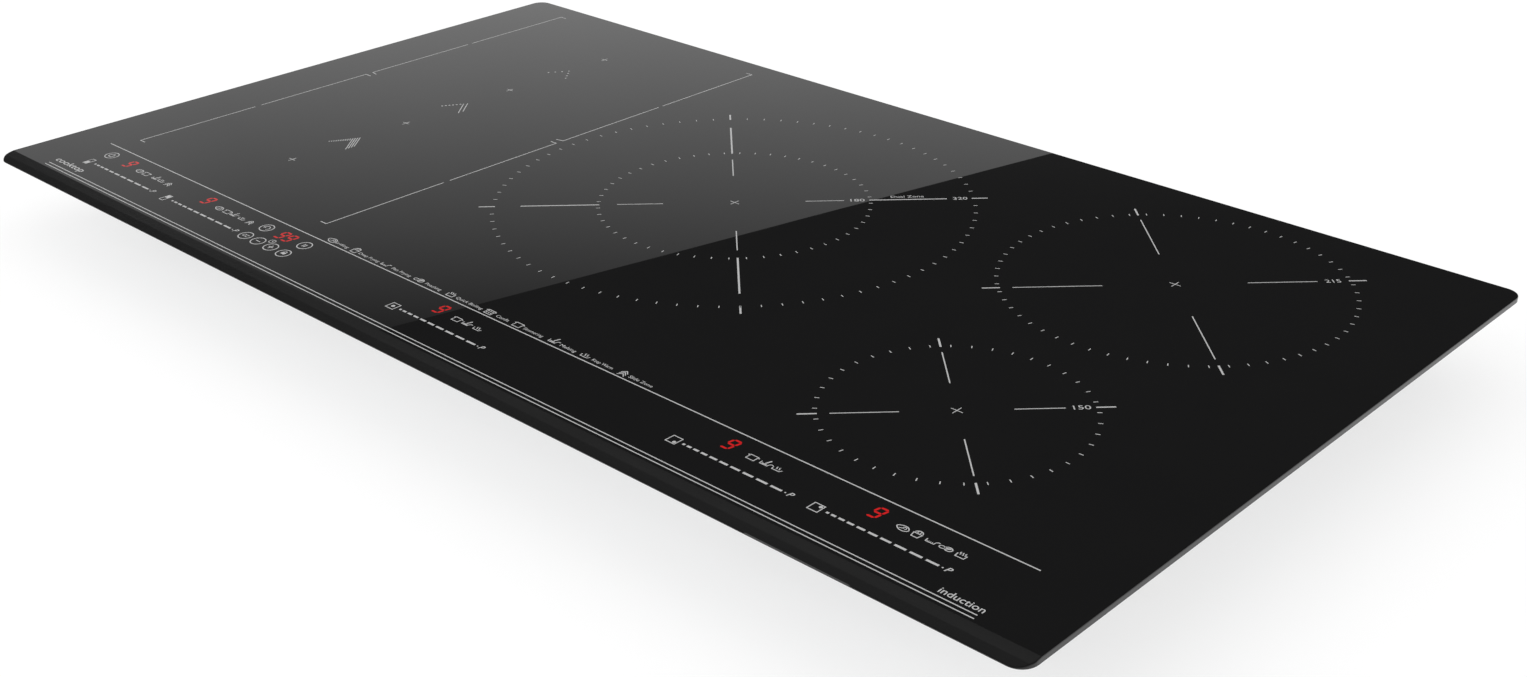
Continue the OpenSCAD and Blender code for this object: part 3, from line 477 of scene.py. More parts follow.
def dots_along(start, end, count, radius=0.75):
    """Round dots evenly spaced from one point to another, both ends included."""
    t = np.linspace(0, 1, count)[:, None]
    centres = np.array(start) + t * (np.array(end) - np.array(start))
    return plates(arc(radius, steps=12)[None] + centres[:, None])


NEAR_TIP, MIDDLE_TIP, FAR_TIP = -60.5, 39.0, 142.0
SHORT_STROKES, LONG_STROKES = 10, 4
near_tip = np.array([SLIDE_MIDDLE, NEAR_TIP])
back = np.linspace(np.linalg.norm(LEFT_ARM), 0, SHORT_STROKES + LONG_STROKES)
slide_parts.append(
    hatch(near_tip, back[:SHORT_STROKES], np.linspace(1.6, 3.5, SHORT_STROKES))
)
slide_parts.append(hatch(near_tip, back[SHORT_STROKES:]))
middle_tip = np.array([SLIDE_MIDDLE, MIDDLE_TIP])
slide_parts.append(hatch(middle_tip, (0.0, 3.0)))
slide_parts.append(dots_along(middle_tip + (-9.8, -16.6), middle_tip + (-2.6, -4.9), 6))
far_tip = np.array([SLIDE_MIDDLE, FAR_TIP])
slide_parts.append(dots_along(far_tip + (-9.6, -13.2), far_tip, 4, 0.7))
slide_parts.append(dots_along(far_tip + (3.6, -4.0), far_tip + (11, -13.2), 3, 0.7))
prints.append(add_mesh("slide_zone_marks", *joined(slide_parts), slot="black_glass"))

# %% [markdown]
# ## The power sliders and the border lines
#
# Power is set by stroking a finger along a row of dashes. They grow in length to the right, from
# a dot to a long bar, and end at a small P for the boost. A small plan of the hob beside each
# row shows which zone it belongs to. One hairline divides the controls from the zones, and two
# more close the panel off before the bevel.

# %% Sliders and lines
SLIDER_Y = -217.5
DASHES = np.array(
    [(0, 1.7), (3.3, 6.3), (8.0, 11.7), (13.5, 17.7), (19.7, 24.8),
     (26.8, 32.5), (34.5, 41.0), (43.2, 50.2), (52.5, 60.0), (62.3, 69.9)]
)  # fmt: skip
DASH_W = 1.5
SLIDER_LEFT = [-382.5, -283.0, -34.6, 203.7, 303.0]
LAST_DOT_AT = 72.2
BOOST_AT = 75.2
slider_parts = []
for left in SLIDER_LEFT:
    ends = np.stack([DASHES + left, np.full_like(DASHES, SLIDER_Y)], -1)
    slider_parts.append(ribbon(ends, DASH_W))
    slider_parts.append(plates(arc(0.5, steps=12, centre=(left + LAST_DOT_AT, SLIDER_Y))))
    slider_parts.append(word("P", left + BOOST_AT, SLIDER_Y, 4.2, bold=0.01, slant=0.25))
prints.append(add_mesh("power_slider_marks", *joined(slider_parts), slot="black_glass"))

line_parts = [
    ribbon([(-410.5, -188.9), (410.5, -188.9)], 0.8),
    ribbon([(-409.5, -237.3), (410.5, -237.3)], 0.7),
    ribbon([(-409.5, -240.4), (411.0, -240.4)], 0.7),
]
prints.append(add_mesh("border_lines", *joined(line_parts), slot="black_glass"))

# %% [markdown]
# ## Pictograms
#
# Pictograms are 4 to 8 mm wide, drawn in strokes like a plotter would, and a round key has a
# ring 10 mm across. They are kept in one library, in millimetres about their own middle, and
# placed by name.

# %% The library of pictograms
THIN = 0.55
BLOB = np.radians(np.arange(0, 360, 15))
STEAK = np.column_stack(
    [
        3.0 * np.cos(BLOB) * (1 + 0.12 * np.cos(2 * BLOB + 1)),
        2.2 * np.sin(BLOB) * (1 + 0.15 * np.cos(BLOB)),
    ]
)
WAVE_T = np.linspace(0, 1, 13)
STEAM = np.column_stack([0.45 * np.sin(2 * np.pi * WAVE_T), 2.2 * WAVE_T])
KEY_R = 4.9
KEY = [(arc(KEY_R, steps=40), 0.7, True)]


def box_path(w, h):
    """A rectangle about the middle."""
    return [(-w / 2, -h / 2), (w / 2, -h / 2), (w / 2, h / 2), (-w / 2, h / 2)]


DISH = ([(-3.2, 1.1), (-3.0, -1.3), (2.0, -1.3), (2.2, 0.2)], THIN)
HANDLE = ([(2.2, 0.2), (3.0, 1.2), (4.3, 1.2)], THIN)
POT = [(box_path(5.4, 4.2), THIN, True)] + [
    ([(side * 2.8, 1.5), (side * 3.9, 1.5)], 0.8) for side in (-1, 1)
]


def beads(xs, y, r):
    """A few small filled dots in a row."""
    return [(arc(r, steps=8, centre=(x, y)), None) for x in xs]


def steam(xs, y):
    """Wavy lines that rise from a height."""
    return [(STEAM + (x, y), 0.5) for x in xs]


BEAN = STEAK * (1.15, 1.0)
ICONS = {
    "grill": [
        (BEAN, 0.6, True),
        (arc(1.1, -60, 200, 9, (0.9, 0.2)), 0.5),
        ([(-2.0, -0.8), (0.8, 0.1)], 0.5),
    ],
    "fry": [
        ([(-2.6, 1.0), (-1.9, -2.3), (1.9, -2.3), (2.6, 1.0)], 0.6, True),
        (arc(2.4, 15, 165, 9, (0, 1.1)), 0.6),
        ([(-0.9, 1.6), (-0.9, 3.0)], 0.6),
        ([(0.7, 1.6), (0.7, 3.1)], 0.6),
    ],
    "pan": [DISH, HANDLE] + beads((-2.2, -1.2, -0.2, 0.8), -0.5, 0.28),
    "poach": [
        (arc(2.2, steps=18, centre=(1.2, 0)) * (1, 0.75), 0.6, True),
        (arc(1.4, steps=14, centre=(-2.0, -0.4)) * (1.2, 0.8), 0.5, True),
        ([(-0.5, -0.9), (2.4, 0.6)], 0.6),
        ([(-0.2, 0.0), (2.2, 1.1)], 0.6),
    ],
    "boil": [([(-2.8, 0.9), (-2.5, -2.0), (2.5, -2.0), (2.8, 0.9)], 0.6)] + steam((-1.5, 0.0, 1.5), 0.2),
    "simmer": POT,
    "confit": POT + beads((-1.6, 0.0, 1.6), 0.9, 0.5) + beads((-1.6, 0.0, 1.6), -0.7, 0.5),
    "melt": [DISH, HANDLE, ([(-2.2, -0.5), (1.2, -0.5)], 0.7), ([(0.9, 4.0), (-0.3, 0.2)], 0.9)],
    "warm": [([(-3.1, 0.9), (-2.6, -1.3), (2.4, -1.3), (3.3, 0.4)], THIN)] + steam((-0.8, 0.9), -0.2),
    "slide": [
        ([(-2.4, -2.6 + i * 1.5), (0, -0.4 + i * 1.5), (2.4, -2.6 + i * 1.5)], 0.6) for i in range(3)
    ],
    "power": KEY + [(arc(2.2, 130, 410, 16), 0.7), ([(0, 0.6), (0, 3.0)], 0.7)],
    "minus": KEY + [([(-2.2, 0), (2.2, 0)], 0.7)],
    "plus": KEY + [(cross((0, 0), 4.4, 0.7), "ready")],
    "lock": KEY + [(box_path(3.6, 2.4), None), (arc(1.2, 0, 180, 9, (0, 1.4)), 0.6)],
    "pause": KEY + [([(-0.9, -1.8), (-0.9, 1.8)], 0.8), ([(0.9, -1.8), (0.9, 1.8)], 0.8)],
    "recall": KEY + [(arc(2.3, -60, 200, 14), 0.6), ([(-3.2, 0.4), (-2.2, -0.8), (-1.1, 0.3)], 0.6)],
    "link": KEY + [
        (arc(1.3, steps=14, centre=(-1.1, 0)), 0.5, True),
        (arc(1.3, 30, 330, 12, (1.5, 0)), 0.5),
    ],
    "clock": [(arc(2.3, steps=20), 0.5, True), ([(0, 1.4), (0, 0), (1.0, -0.5)], 0.45)],
    "zone_one": [(box_path(6.6, 6.6), 0.6, True), (arc(1.3, steps=16), None)],
    "zone_rear": [(box_path(6.6, 6.6), 0.6, True), (arc(1.1, steps=16, centre=(1.7, 1.7)), None)],
    "zone_front": [(box_path(6.6, 6.6), 0.6, True), (arc(1.1, steps=16, centre=(1.7, -1.7)), None)],
    "slide_front": [(box_path(3.8, 8.0), 0.6, True), (np.array(box_path(3.2, 3.8)) + (0, -2.0), None)],
    "slide_rear": [(box_path(3.8, 8.0), 0.6, True), (np.array(box_path(3.2, 3.8)) + (0, 2.0), None)],
}


def icon(name, x, y, scale=1.0):
    """The strokes of one pictogram at a place. A ready-made prism is only moved."""
    parts = []
    for shape in ICONS[name]:
        if shape[1] == "ready":
            points, faces = shape[0]
            parts.append((points + (x, y, 0), faces))
        else:
            parts += placed([shape], x, y, scale)
    return parts


# %% [markdown]
# The keys repeat from slider to slider: the zone plan at the left end of the row, and the
# automatic programmes in a second row behind it.

# %% Keys beside the sliders
ZONE_PLANS = [
    ("slide_front", -389.6),
    ("slide_rear", -290.4),
    ("zone_one", -40.9),
    ("zone_front", 197.4),
    ("zone_rear", 296.4),
]
PROGRAMME_Y = -203.5
PROGRAMMES = [
    ("grill", -346.8), ("simmer", -338.3), ("melt", -326.7), ("warm", -319.3), ("slide", -310.2),
    ("grill", -247.7), ("simmer", -238.3), ("melt", -230.8), ("warm", -221.4), ("slide", -211.9),
    ("simmer", 1.5), ("melt", 10.4), ("warm", 20.2),
    ("simmer", 240.1), ("melt", 249.5), ("warm", 257.5),
    ("grill", 339.8), ("fry", 348.5), ("pan", 357.6), ("poach", 366.5), ("boil", 375.5),
]  # fmt: skip
KEYS = [
    ("power", -388.2, -200.9),
    ("link", -195.9, -217.3),
    ("minus", -182.5, -217.0),
    ("plus", -168.3, -217.0),
    ("lock", -154.3, -217.2),
    ("recall", -196.3, -201.1),
    ("pause", -154.3, -201.2),
    ("clock", -175.0, -211.3),
]
key_parts = []
for name, x in ZONE_PLANS:
    key_parts += icon(name, x, SLIDER_Y)
for name, x in PROGRAMMES:
    key_parts += icon(name, x, PROGRAMME_Y)
for name, x, y in KEYS:
    key_parts += icon(name, x, y)
prints.append(add_mesh("key_pictograms", *joined(key_parts), slot="black_glass"))

# %% [markdown]
# Behind the hairline runs a legend that explains the programmes in plain words.

# %% The legend and the type word
LEGEND_Y = -184.6
LEGEND = [
    ("grill", -148.1, "Grilling", -138.1),
    ("fry", -124.0, "Deep Frying", -109.0),
    ("pan", -92.7, "Pan Frying", -76.1),
    ("poach", -58.6, "Poaching", -44.6),
    ("boil", -27.7, "Quick Boiling", -10.3),
    ("confit", 8.2, "Confit", 20.4),
    ("simmer", 33.7, "Simmering", 47.8),
    ("melt", 65.1, "Melting", 77.9),
    ("warm", 92.1, "Keep Warm", 106.8),
    ("slide", 123.7, "Slide Zone", 137.9),
]
LEGEND_ICON_SCALE = 1.1
LEGEND_H = 2.7
LETTER_PITCH = 1.85
legend_parts = []
for name, x, text, middle in LEGEND:
    legend_parts += icon(name, x, LEGEND_Y + 0.4, LEGEND_ICON_SCALE)
    legend_parts.append(word(text, middle, LEGEND_Y, LEGEND_H, length=LETTER_PITCH * len(text)))
prints.append(add_mesh("programme_legend", *joined(legend_parts), slot="black_glass"))
type_word = [
    word("induction", 398.4, -232.6, 4.9, length=26.0, bold=0.006),
    word("cooktop", -393.0, -230.2, 5.6, length=35.0, bold=0.012),
]
prints.append(add_mesh("type_word", *joined(type_word), slot="black_glass"))

# %% [markdown]
# ## The lit displays
#
# Seven-segment digits glow through the glass from the modules under it. Each segment is a flat
# bar with pointed ends. The digits lean to the right, as they do on most appliances.

# %% Seven-segment digits
DIGIT_H, DIGIT_W, SEGMENT_W, LEAN = 9.6, 5.2, 1.35, 0.17
SEGMENT_GAP = 0.25
SEGMENTS = {
    "a": ((0, 1), (1, 1)),
    "b": ((1, 1), (1, 0.5)),
    "c": ((1, 0.5), (1, 0)),
    "d": ((0, 0), (1, 0)),
    "f": ((0, 0.5), (0, 1)),
    "g": ((0, 0.5), (1, 0.5)),
}
NINE = "abcdfg"


def segment(start, end):
    """A bar with pointed ends between two corners of the digit, leaning with its height."""
    size = np.array([DIGIT_W, DIGIT_H])
    a = (np.array(start) - 0.5) * size
    b = (np.array(end) - 0.5) * size
    u = unit(b - a)
    v = np.array([-u[1], u[0]]) * SEGMENT_W / 2
    point = u * SEGMENT_GAP
    shoulder = u * (SEGMENT_GAP + SEGMENT_W / 2)
    corners = np.array(
        [a + point, a + shoulder - v, b - shoulder - v, b - point, b - shoulder + v, a + shoulder + v]
    )
    corners[:, 0] += LEAN * corners[:, 1]
    return corners


nine = np.array([segment(*SEGMENTS[s]) for s in NINE])
DIGIT_Y = -201.0
DIGITS_X = [-363.5, -264.6, -16.0, 222.7, 321.9, -178.6, -170.6]
digit_places = np.column_stack([DIGITS_X, np.full(len(DIGITS_X), DIGIT_Y)])
digits = add_mesh(
    "lit_digits",
    *joined([plates(nine + place) for place in digit_places]),
    slot="black_glass",
)

# %% [markdown]
# ## Finishes
#
# Every finish is built from the piece's own Object coordinates, in metres, so a grain of half a
# millimetre is half a millimetre everywhere. One function lays down the base: a colour that
# wanders a little, a roughness that wanders with it, and a fine relief. The special patterns,
# such as the zinc spangle or the turns of a coil, are laid over it.

# %% Building blocks for the finishes
class Finish:
    """One material and the few node shortcuts that the recipes below share."""

    def __init__(self, name):
        self.material = bpy.data.materials.new(name)
        self.material.use_nodes = True
        self.tree = self.material.node_tree
        self.shader = self.tree.nodes["Principled BSDF"]
        self.coords = self.tree.nodes.new("ShaderNodeTexCoord").outputs["Object"]

    def node(self, kind, inputs=(), **settings):
        """A shader node with its settings made and its inputs filled."""
        node = self.tree.nodes.new("ShaderNode" + kind)
        for key, value in settings.items():
            setattr(node, key, value)
        for key, value in dict(inputs).items():
            self.put(node.inputs[key], value)
        return node

    def put(self, socket, value):
        """A value or another node's output on a socket."""
        if isinstance(value, bpy.types.NodeSocket):
            self.tree.links.new(value, socket)
        else:
            socket.default_value = value

    def maths(self, operation, a, b=0.0, c=0.0):
        """The result of one sum on up to three values."""
        return self.node("Math", {0: a, 1: b, 2: c}, operation=operation).outputs[0]

    def noise(self, grain, stretch=(1, 1, 1), detail=3.0, where=None):
        """Noise from 0 to 1 whose lumps are about one grain wide, in metres."""
        scaled = self.node("VectorMath", {0: where or self.coords, 1: stretch}, operation="MULTIPLY")
        inputs = {"Vector": scaled.outputs[0], "Scale": 1 / grain, "Detail": detail}
        return self.node("TexNoise", inputs).outputs["Fac"]

    def cells(self, grain, output="Distance", **settings):
        """Cells about one grain wide, in metres: the distance to the middle, or another output."""
        inputs = {"Vector": self.coords, "Scale": 1 / grain}
        return self.node("TexVoronoi", inputs, **settings).outputs[output]

    def span(self, value, low, high, start=0.0, end=1.0):
        """A value taken from one range to another, without going past its ends."""
        return self.node("MapRange", {0: value, 1: start, 2: end, 3: low, 4: high}).outputs[0]

    def blend(self, factor, first, second):
        """A colour between two colours."""
        mix = self.node("Mix", data_type="RGBA")
        self.put(mix.inputs[0], factor)
        self.put(mix.inputs[6], (*first, 1.0) if isinstance(first, tuple) else first)
        self.put(mix.inputs[7], (*second, 1.0) if isinstance(second, tuple) else second)
        return mix.outputs[2]

    def from_oblong(self, centre, half):
        """Distance in plan from a flat rectangle of the given half sizes, in millimetres.

        It is the length of what is left of |x| and |y| after the half sizes are taken off.
        """
        place = self.node("SeparateXYZ", {0: self.coords}).outputs
        squares = []
        for axis in (0, 1):
            offset = self.maths("SUBTRACT", place[axis], centre[axis] * MM)
            past = self.maths("SUBTRACT", self.maths("ABSOLUTE", offset), half[axis] * MM)
            past = self.maths("MAXIMUM", past, 0.0)
            squares.append(self.maths("MULTIPLY", past, past))
        return self.maths("SQRT", self.maths("ADD", *squares))

    def relief(self, height, depth, under=None):
        """A relief of the given depth in metres, over another one if there is one."""
        bump = self.node("Bump", {"Height": height, "Distance": depth, "Strength": 1.0})
        if under is not None:
            self.put(bump.inputs["Normal"], under)
        return bump.outputs[0]

    def set(self, **values):
        """The main shader's sockets, by name, with _ for a space."""
        for key, value in values.items():
            value = (*value, 1.0) if isinstance(value, tuple) and len(value) == 3 else value
            self.put(self.shader.inputs[key.replace("_", " ")], value)
        return self


def plain(name, colour, rough, metal, grain_mm, mottle, depth_mm, stretch=(1, 1, 1), **more):
    """The base finish: a wandering colour and roughness over a fine relief."""
    f = Finish(name)
    cloud = f.noise(grain_mm * 12 * MM, stretch)
    grain = f.noise(grain_mm * MM, stretch, 2.0)
    colour = np.array(colour)
    dark, light = tuple(colour * (1 - mottle)), tuple(np.minimum(colour * (1 + mottle), 1))
    f.set(
        Base_Color=f.blend(f.span(cloud, 0, 1, 0.35, 0.65), dark, light),
        Roughness=f.span(grain, rough * 0.8, min(rough * 1.2, 1.0), 0.3, 0.7),
        Metallic=metal,
        Normal=f.relief(grain, depth_mm * MM),
        **more,
    )
    return f


# %% [markdown]
# Most slots need only the base finish with their own numbers: colour, roughness, metal or not,
# grain in millimetres, how much the colour wanders, and the depth of the relief in millimetres.

# %% The table of plain finishes
ALONG_Y = (1, 0.04, 1)
ALONG_X = (0.04, 1, 1)
PLAIN = {
    "foam_seal": ((0.018, 0.018, 0.019), 0.92, 0, 0.9, 0.25, 0.15),
    "bright_screws": ((0.62, 0.62, 0.60), 0.28, 1, 0.4, 0.10, 0.01),
    "clamp_steel": ((0.55, 0.54, 0.50), 0.36, 1, 0.8, 0.12, 0.02),
    "spring_steel": ((0.40, 0.41, 0.44), 0.30, 1, 0.5, 0.10, 0.01),
    "motor_steel": ((0.50, 0.50, 0.50), 0.38, 1, 0.5, 0.10, 0.01),
    "coil_plate": ((0.74, 0.75, 0.76), 0.34, 1, 0.6, 0.06, 0.012, ALONG_Y),
    "heat_sink": ((0.70, 0.71, 0.72), 0.32, 1, 0.5, 0.08, 0.02, ALONG_Y),
    "ferrite": ((0.030, 0.030, 0.034), 0.55, 0, 0.35, 0.30, 0.03),
    "ceramic_sensor": ((0.80, 0.78, 0.72), 0.50, 0, 0.3, 0.06, 0.01),
    "fibre_sheet": ((0.72, 0.70, 0.64), 0.95, 0, 1.2, 0.10, 0.12, (1, 0.3, 1)),
    "carrier_plastic": ((0.045, 0.045, 0.048), 0.48, 0, 0.4, 0.15, 0.015),
    "choke_winding": ((0.56, 0.20, 0.07), 0.28, 1, 0.7, 0.18, 0.10, ALONG_X),
    "black_epoxy": ((0.020, 0.020, 0.022), 0.50, 0, 0.25, 0.20, 0.01),
    "capacitor_case": ((0.020, 0.035, 0.085), 0.30, 0, 0.8, 0.12, 0.01),
    "film_case": ((0.62, 0.46, 0.08), 0.42, 0, 0.6, 0.08, 0.01),
    "nylon": ((0.78, 0.77, 0.73), 0.42, 0, 0.6, 0.04, 0.01),
    "black_plastic": ((0.022, 0.022, 0.024), 0.46, 0, 0.35, 0.15, 0.015),
    "fan_plastic": ((0.028, 0.028, 0.030), 0.38, 0, 0.4, 0.12, 0.012),
    "display_case": ((0.030, 0.030, 0.032), 0.40, 0, 0.4, 0.12, 0.01),
    "brass_screw": ((0.72, 0.52, 0.22), 0.30, 1, 0.4, 0.12, 0.01),
    "gland_rubber": ((0.016, 0.016, 0.017), 0.70, 0, 0.5, 0.20, 0.02),
}
finishes = {slot: plain(slot, *row) for slot, row in PLAIN.items()}

# %% [markdown]
# The casing is hot-dip galvanised sheet. Zinc freezes in flat crystals about a centimetre
# across, each with its own tone and its own polish, over the fine lines left by the mill.

# %% Galvanised sheet
SPANGLE = 9 * MM
zinc = plain("zinc_sheet", (0.60, 0.62, 0.63), 0.36, 1, 0.7, 0.05, 0.012, ALONG_X)
crystal = zinc.node("SeparateColor", {0: zinc.cells(SPANGLE, "Color")}).outputs[0]
ferns = zinc.noise(1.6 * MM, (1, 0.35, 1), 4.0)
tone = zinc.maths("ADD", zinc.maths("MULTIPLY", crystal, 0.65), zinc.maths("MULTIPLY", ferns, 0.35))
zinc.set(
    Base_Color=zinc.blend(tone, (0.52, 0.54, 0.56), (0.67, 0.69, 0.70)),
    Roughness=zinc.span(tone, 0.28, 0.46),
)
finishes["zinc_sheet"] = zinc

# %% [markdown]
# The boards are glass-fibre laminate under green solder mask. Copper tracks show through the
# mask as a slightly lighter, slightly raised pattern of square-cornered paths, and the soldered
# pads are bright.

# %% Circuit boards
TRACK_CELL = 6 * MM
TRACKS_IN_CELL = 6.0
PAD_PITCH = 5.08 * MM
board = Finish("circuit_board")
track_cells = board.cells(TRACK_CELL, distance="MANHATTAN", feature="F1")
track = board.maths("PINGPONG", board.maths("MULTIPLY", track_cells, TRACKS_IN_CELL), 1.0)
on_track = board.span(track, 0, 1, 0.55, 0.65)
pad = board.span(board.cells(PAD_PITCH), 1, 0, 0.12, 0.16)
mask = board.blend(on_track, (0.010, 0.085, 0.030), (0.018, 0.140, 0.050))
board.set(
    Base_Color=board.blend(pad, mask, (0.75, 0.75, 0.73)),
    Roughness=board.span(pad, 0.34, 0.22),
    Metallic=pad,
    Normal=board.relief(on_track, 0.04 * MM),
)
finishes["circuit_board"] = board

# %% [markdown]
# Ribbon cable is a row of round conductors in one grey jacket, on a pitch of 1.27 mm; its first
# conductor is marked red, which this finish leaves out. The grooves run along the cable.

# %% Ribbon cable
CONDUCTOR_PITCH = 1.27 * MM
ribbon_cable = plain("ribbon_jacket", (0.36, 0.37, 0.38), 0.45, 0, 0.5, 0.06, 0.01)
x_along = ribbon_cable.node("SeparateXYZ", {0: ribbon_cable.coords}).outputs[0]
groove = ribbon_cable.maths("PINGPONG", x_along, CONDUCTOR_PITCH / 2)
rounded = ribbon_cable.maths("MULTIPLY", groove, 2 / CONDUCTOR_PITCH)
ribbon_cable.set(Normal=ribbon_cable.relief(rounded, 0.4 * MM))
finishes["ribbon_jacket"] = ribbon_cable

# %% [markdown]
# An induction coil is one long spiral of litz wire: dozens of varnished strands twisted into a
# cord 2.6 mm thick. Seen from above the turns read as even rings, each with the slanting lay of
# its strands. The distance from a segment gives rings for the oblong coils and for the round
# ones alike, since a round coil has a segment of no length.

# %% Coil windings
TURN = 2.6 * MM
LAY = 1.1 * MM


def winding(name, centres, half=(0.0, 0.0)):
    """Litz turns around the nearest of several centres, in millimetres.

    The height is a half cosine across each turn, with a finer wave slanting over it.
    """
    f = Finish(name)
    place = f.node("SeparateXYZ", {0: f.coords}).outputs
    nearest = f.from_oblong(centres[0], half)
    for centre in centres[1:]:
        nearest = f.maths("MINIMUM", nearest, f.from_oblong(centre, half))
    turn = f.maths("COSINE", f.maths("MULTIPLY", nearest, 2 * np.pi / TURN))
    slanting = f.maths("ADD", nearest, f.maths("ADD", place[0], place[1]))
    strand = f.maths("COSINE", f.maths("MULTIPLY", slanting, 2 * np.pi / LAY))
    height = f.maths("ADD", turn, f.maths("MULTIPLY", strand, 0.2))
    # The grooves between the turns are painted dark and less metallic: painted shade where the turns
    # meet.
    groove_shade = f.span(turn, 0, 1, -1, -0.4)
    f.set(
        Base_Color=f.blend(groove_shade, (0.10, 0.030, 0.010), (0.62, 0.235, 0.085)),
        Roughness=f.span(f.noise(2 * MM), 0.26, 0.42),
        Metallic=f.span(groove_shade, 0.2, 1.0),
        Normal=f.relief(height, 0.5 * MM),
    )
    return f


SLIDE_COILS = [(SLIDE_MIDDLE, y) for y in SLIDE_COIL_Y]
coils = {
    "slide_coil_windings": winding("slide_litz", SLIDE_COILS, (55.0, 6.0)),
    "dual_inner_winding": winding("dual_inner_litz", [dual]),
    "dual_outer_winding": winding("dual_outer_litz", [dual]),
    "rear_right_winding": winding("rear_right_litz", [rear]),
    "front_right_winding": winding("front_right_litz", [front]),
}

# %% [markdown]
# A rating plate sits on the back wall: a metallised film, left blank here except for a ruled
# frame, a ring and a few bars where the lines of data would be.

# %% The rating plate
LABEL_X, LABEL_Z, LABEL_W, LABEL_H = -80.0, 21.0, 84.0, 28.0
WALL_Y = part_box("base_pan")[1].y / MM
FILM_T = 0.10
INK_T = 0.03
BAR_LENGTHS = (34, 22, 40, 30, 16)
BAR_LEFT, BAR_TOP, BAR_STEP, BAR_W = -36.0, 8.0, 4.2, 1.3
MARK_X, MARK_R = 28.0, 6.0


def on_back_wall(shape, out, thickness):
    """A flat prism stood up against the back wall, its own X turned to the viewer's right."""
    points, faces = shape
    depth = WALL_Y + out + np.where(points[:, 2] > GLASS_TOP, thickness, 0.0)
    return np.column_stack([LABEL_X - points[:, 0], depth, LABEL_Z + points[:, 1]]), faces


def round_box(w, h, r, steps=5):
    """A rounded rectangle, counter-clockwise from the right-hand end of its lower side."""
    corners = [(1, -1, -90), (1, 1, 0), (-1, 1, 90), (-1, -1, 180)]
    return np.concatenate(
        [arc(r, a, a + 90, steps, (sx * (w / 2 - r), sy * (h / 2 - r))) for sx, sy, a in corners]
    )


film = on_back_wall(plates(round_box(LABEL_W, LABEL_H, 2.0)), 0.0, FILM_T)
ink = [ribbon(round_box(LABEL_W - 4, LABEL_H - 4, 1.4), 0.4, True)]
ink.append(ribbon(arc(MARK_R, steps=28, centre=(MARK_X, 0)), 0.8, True))
for row, bar in enumerate(BAR_LENGTHS):
    y = BAR_TOP - row * BAR_STEP
    ink.append(ribbon([(BAR_LEFT, y), (BAR_LEFT + bar, y)], BAR_W))
rating_plate = add_mesh("rating_plate", *film, slot="zinc_sheet")
rating_ink = add_mesh(
    "rating_plate_ink",
    *on_back_wall(joined(ink), FILM_T, INK_T),
    slot="black_plastic",
)
foil = plain("label_foil", (0.66, 0.67, 0.68), 0.30, 0.8, 0.3, 0.04, 0.004, ALONG_X)
black_ink = plain("black_ink", (0.02, 0.02, 0.02), 0.45, 0, 0.3, 0.15, 0.003)
rating_plate.data.materials.append(foil.material)
rating_ink.data.materials.append(black_ink.material)

# %% [markdown]
# Glass-ceramic is a body of very dark brown glass with a fire-polished skin. It is nearly black
# and mirrors like any glass. The skin is not quite flat: rolling leaves waves of a few
# micrometres, and use leaves faint patches where the polish differs. Both facets of the bevel
# keep a trace of the grinding and look a shade lighter than the face. The upper facet is painted
# lighter than the lower one, a painted reflection, since both are ground alike.

# %% Glass, enamel and light
GLASS_IOR = 1.5


def ground(name, dark, light):
    """A ground facet: grey streaks along the edge and a duller sheen than the face's."""
    f = Finish(name)
    f.set(
        # The two tones are given by the caller: the grey of the grinding and, for the upper facet
        # against the lower, painted reflection.
        Base_Color=f.blend(f.noise(6 * MM, (0.1, 1, 1)), (dark,) * 3, (light,) * 3),
        Roughness=f.span(f.noise(1.5 * MM, (0.05, 1, 1)), 0.10, 0.22),
        IOR=GLASS_IOR,
    )
    return f


glass = Finish("black_glass")
clouds = glass.noise(40 * MM)
glass.set(
    Base_Color=glass.blend(clouds, (0.0064, 0.0064, 0.0066), (0.0074, 0.0073, 0.0074)),
    Roughness=glass.span(glass.noise(25 * MM), 0.0, 0.012, 0.35, 0.65),
    IOR=GLASS_IOR,
    Normal=glass.relief(glass.noise(60 * MM, detail=0.0), 0.004 * MM),
)
# Both facets are ground alike; the upper one is painted lighter and the lower one darker, as painted
# reflection.
facet = ground("ground_facet_painted_lit", 0.013, 0.017)
lower_facet = ground("ground_lower_facet_painted_shaded", 0.0100, 0.0125)
enamel = plain("printed_enamel", (0.43, 0.43, 0.43), 0.38, 0, 0.25, 0.04, 0.004)
led = Finish("lit_segment")
unevenness = led.noise(3 * MM)
led.set(
    Base_Color=(0.03, 0.002, 0.002),
    Roughness=0.08,
    Emission_Color=led.blend(unevenness, (0.50, 0.010, 0.012), (0.66, 0.016, 0.016)),
    Emission_Strength=0.95,
)
plate.data.materials.append(glass.material)
plate.data.materials.append(facet.material)
plate.data.materials.append(lower_facet.material)
plate.data.polygons[UPPER_FACET].material_index = 1
plate.data.polygons[LOWER_FACET].material_index = 2
for piece in prints:
    piece.data.materials.append(enamel.material)
digits.data.materials.append(led.material)

# %% [markdown]
# The pieces that come from the CAD part carry slot names. Each slot is filled with the finish
# of that name, except on the windings, whose turns follow their own coil's middle.

# %% Finishes on the carried-over pieces
for name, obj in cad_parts.items():
    slots = [m.name.split(".")[0] if m else None for m in obj.data.materials]
    print(name, slots)
    for i, slot in enumerate(slots):
        if name in coils:
            obj.data.materials[i] = coils[name].material
        elif slot in finishes:
            obj.data.materials[i] = finishes[slot].material
        else:
            print("  no finish for", name, slot)

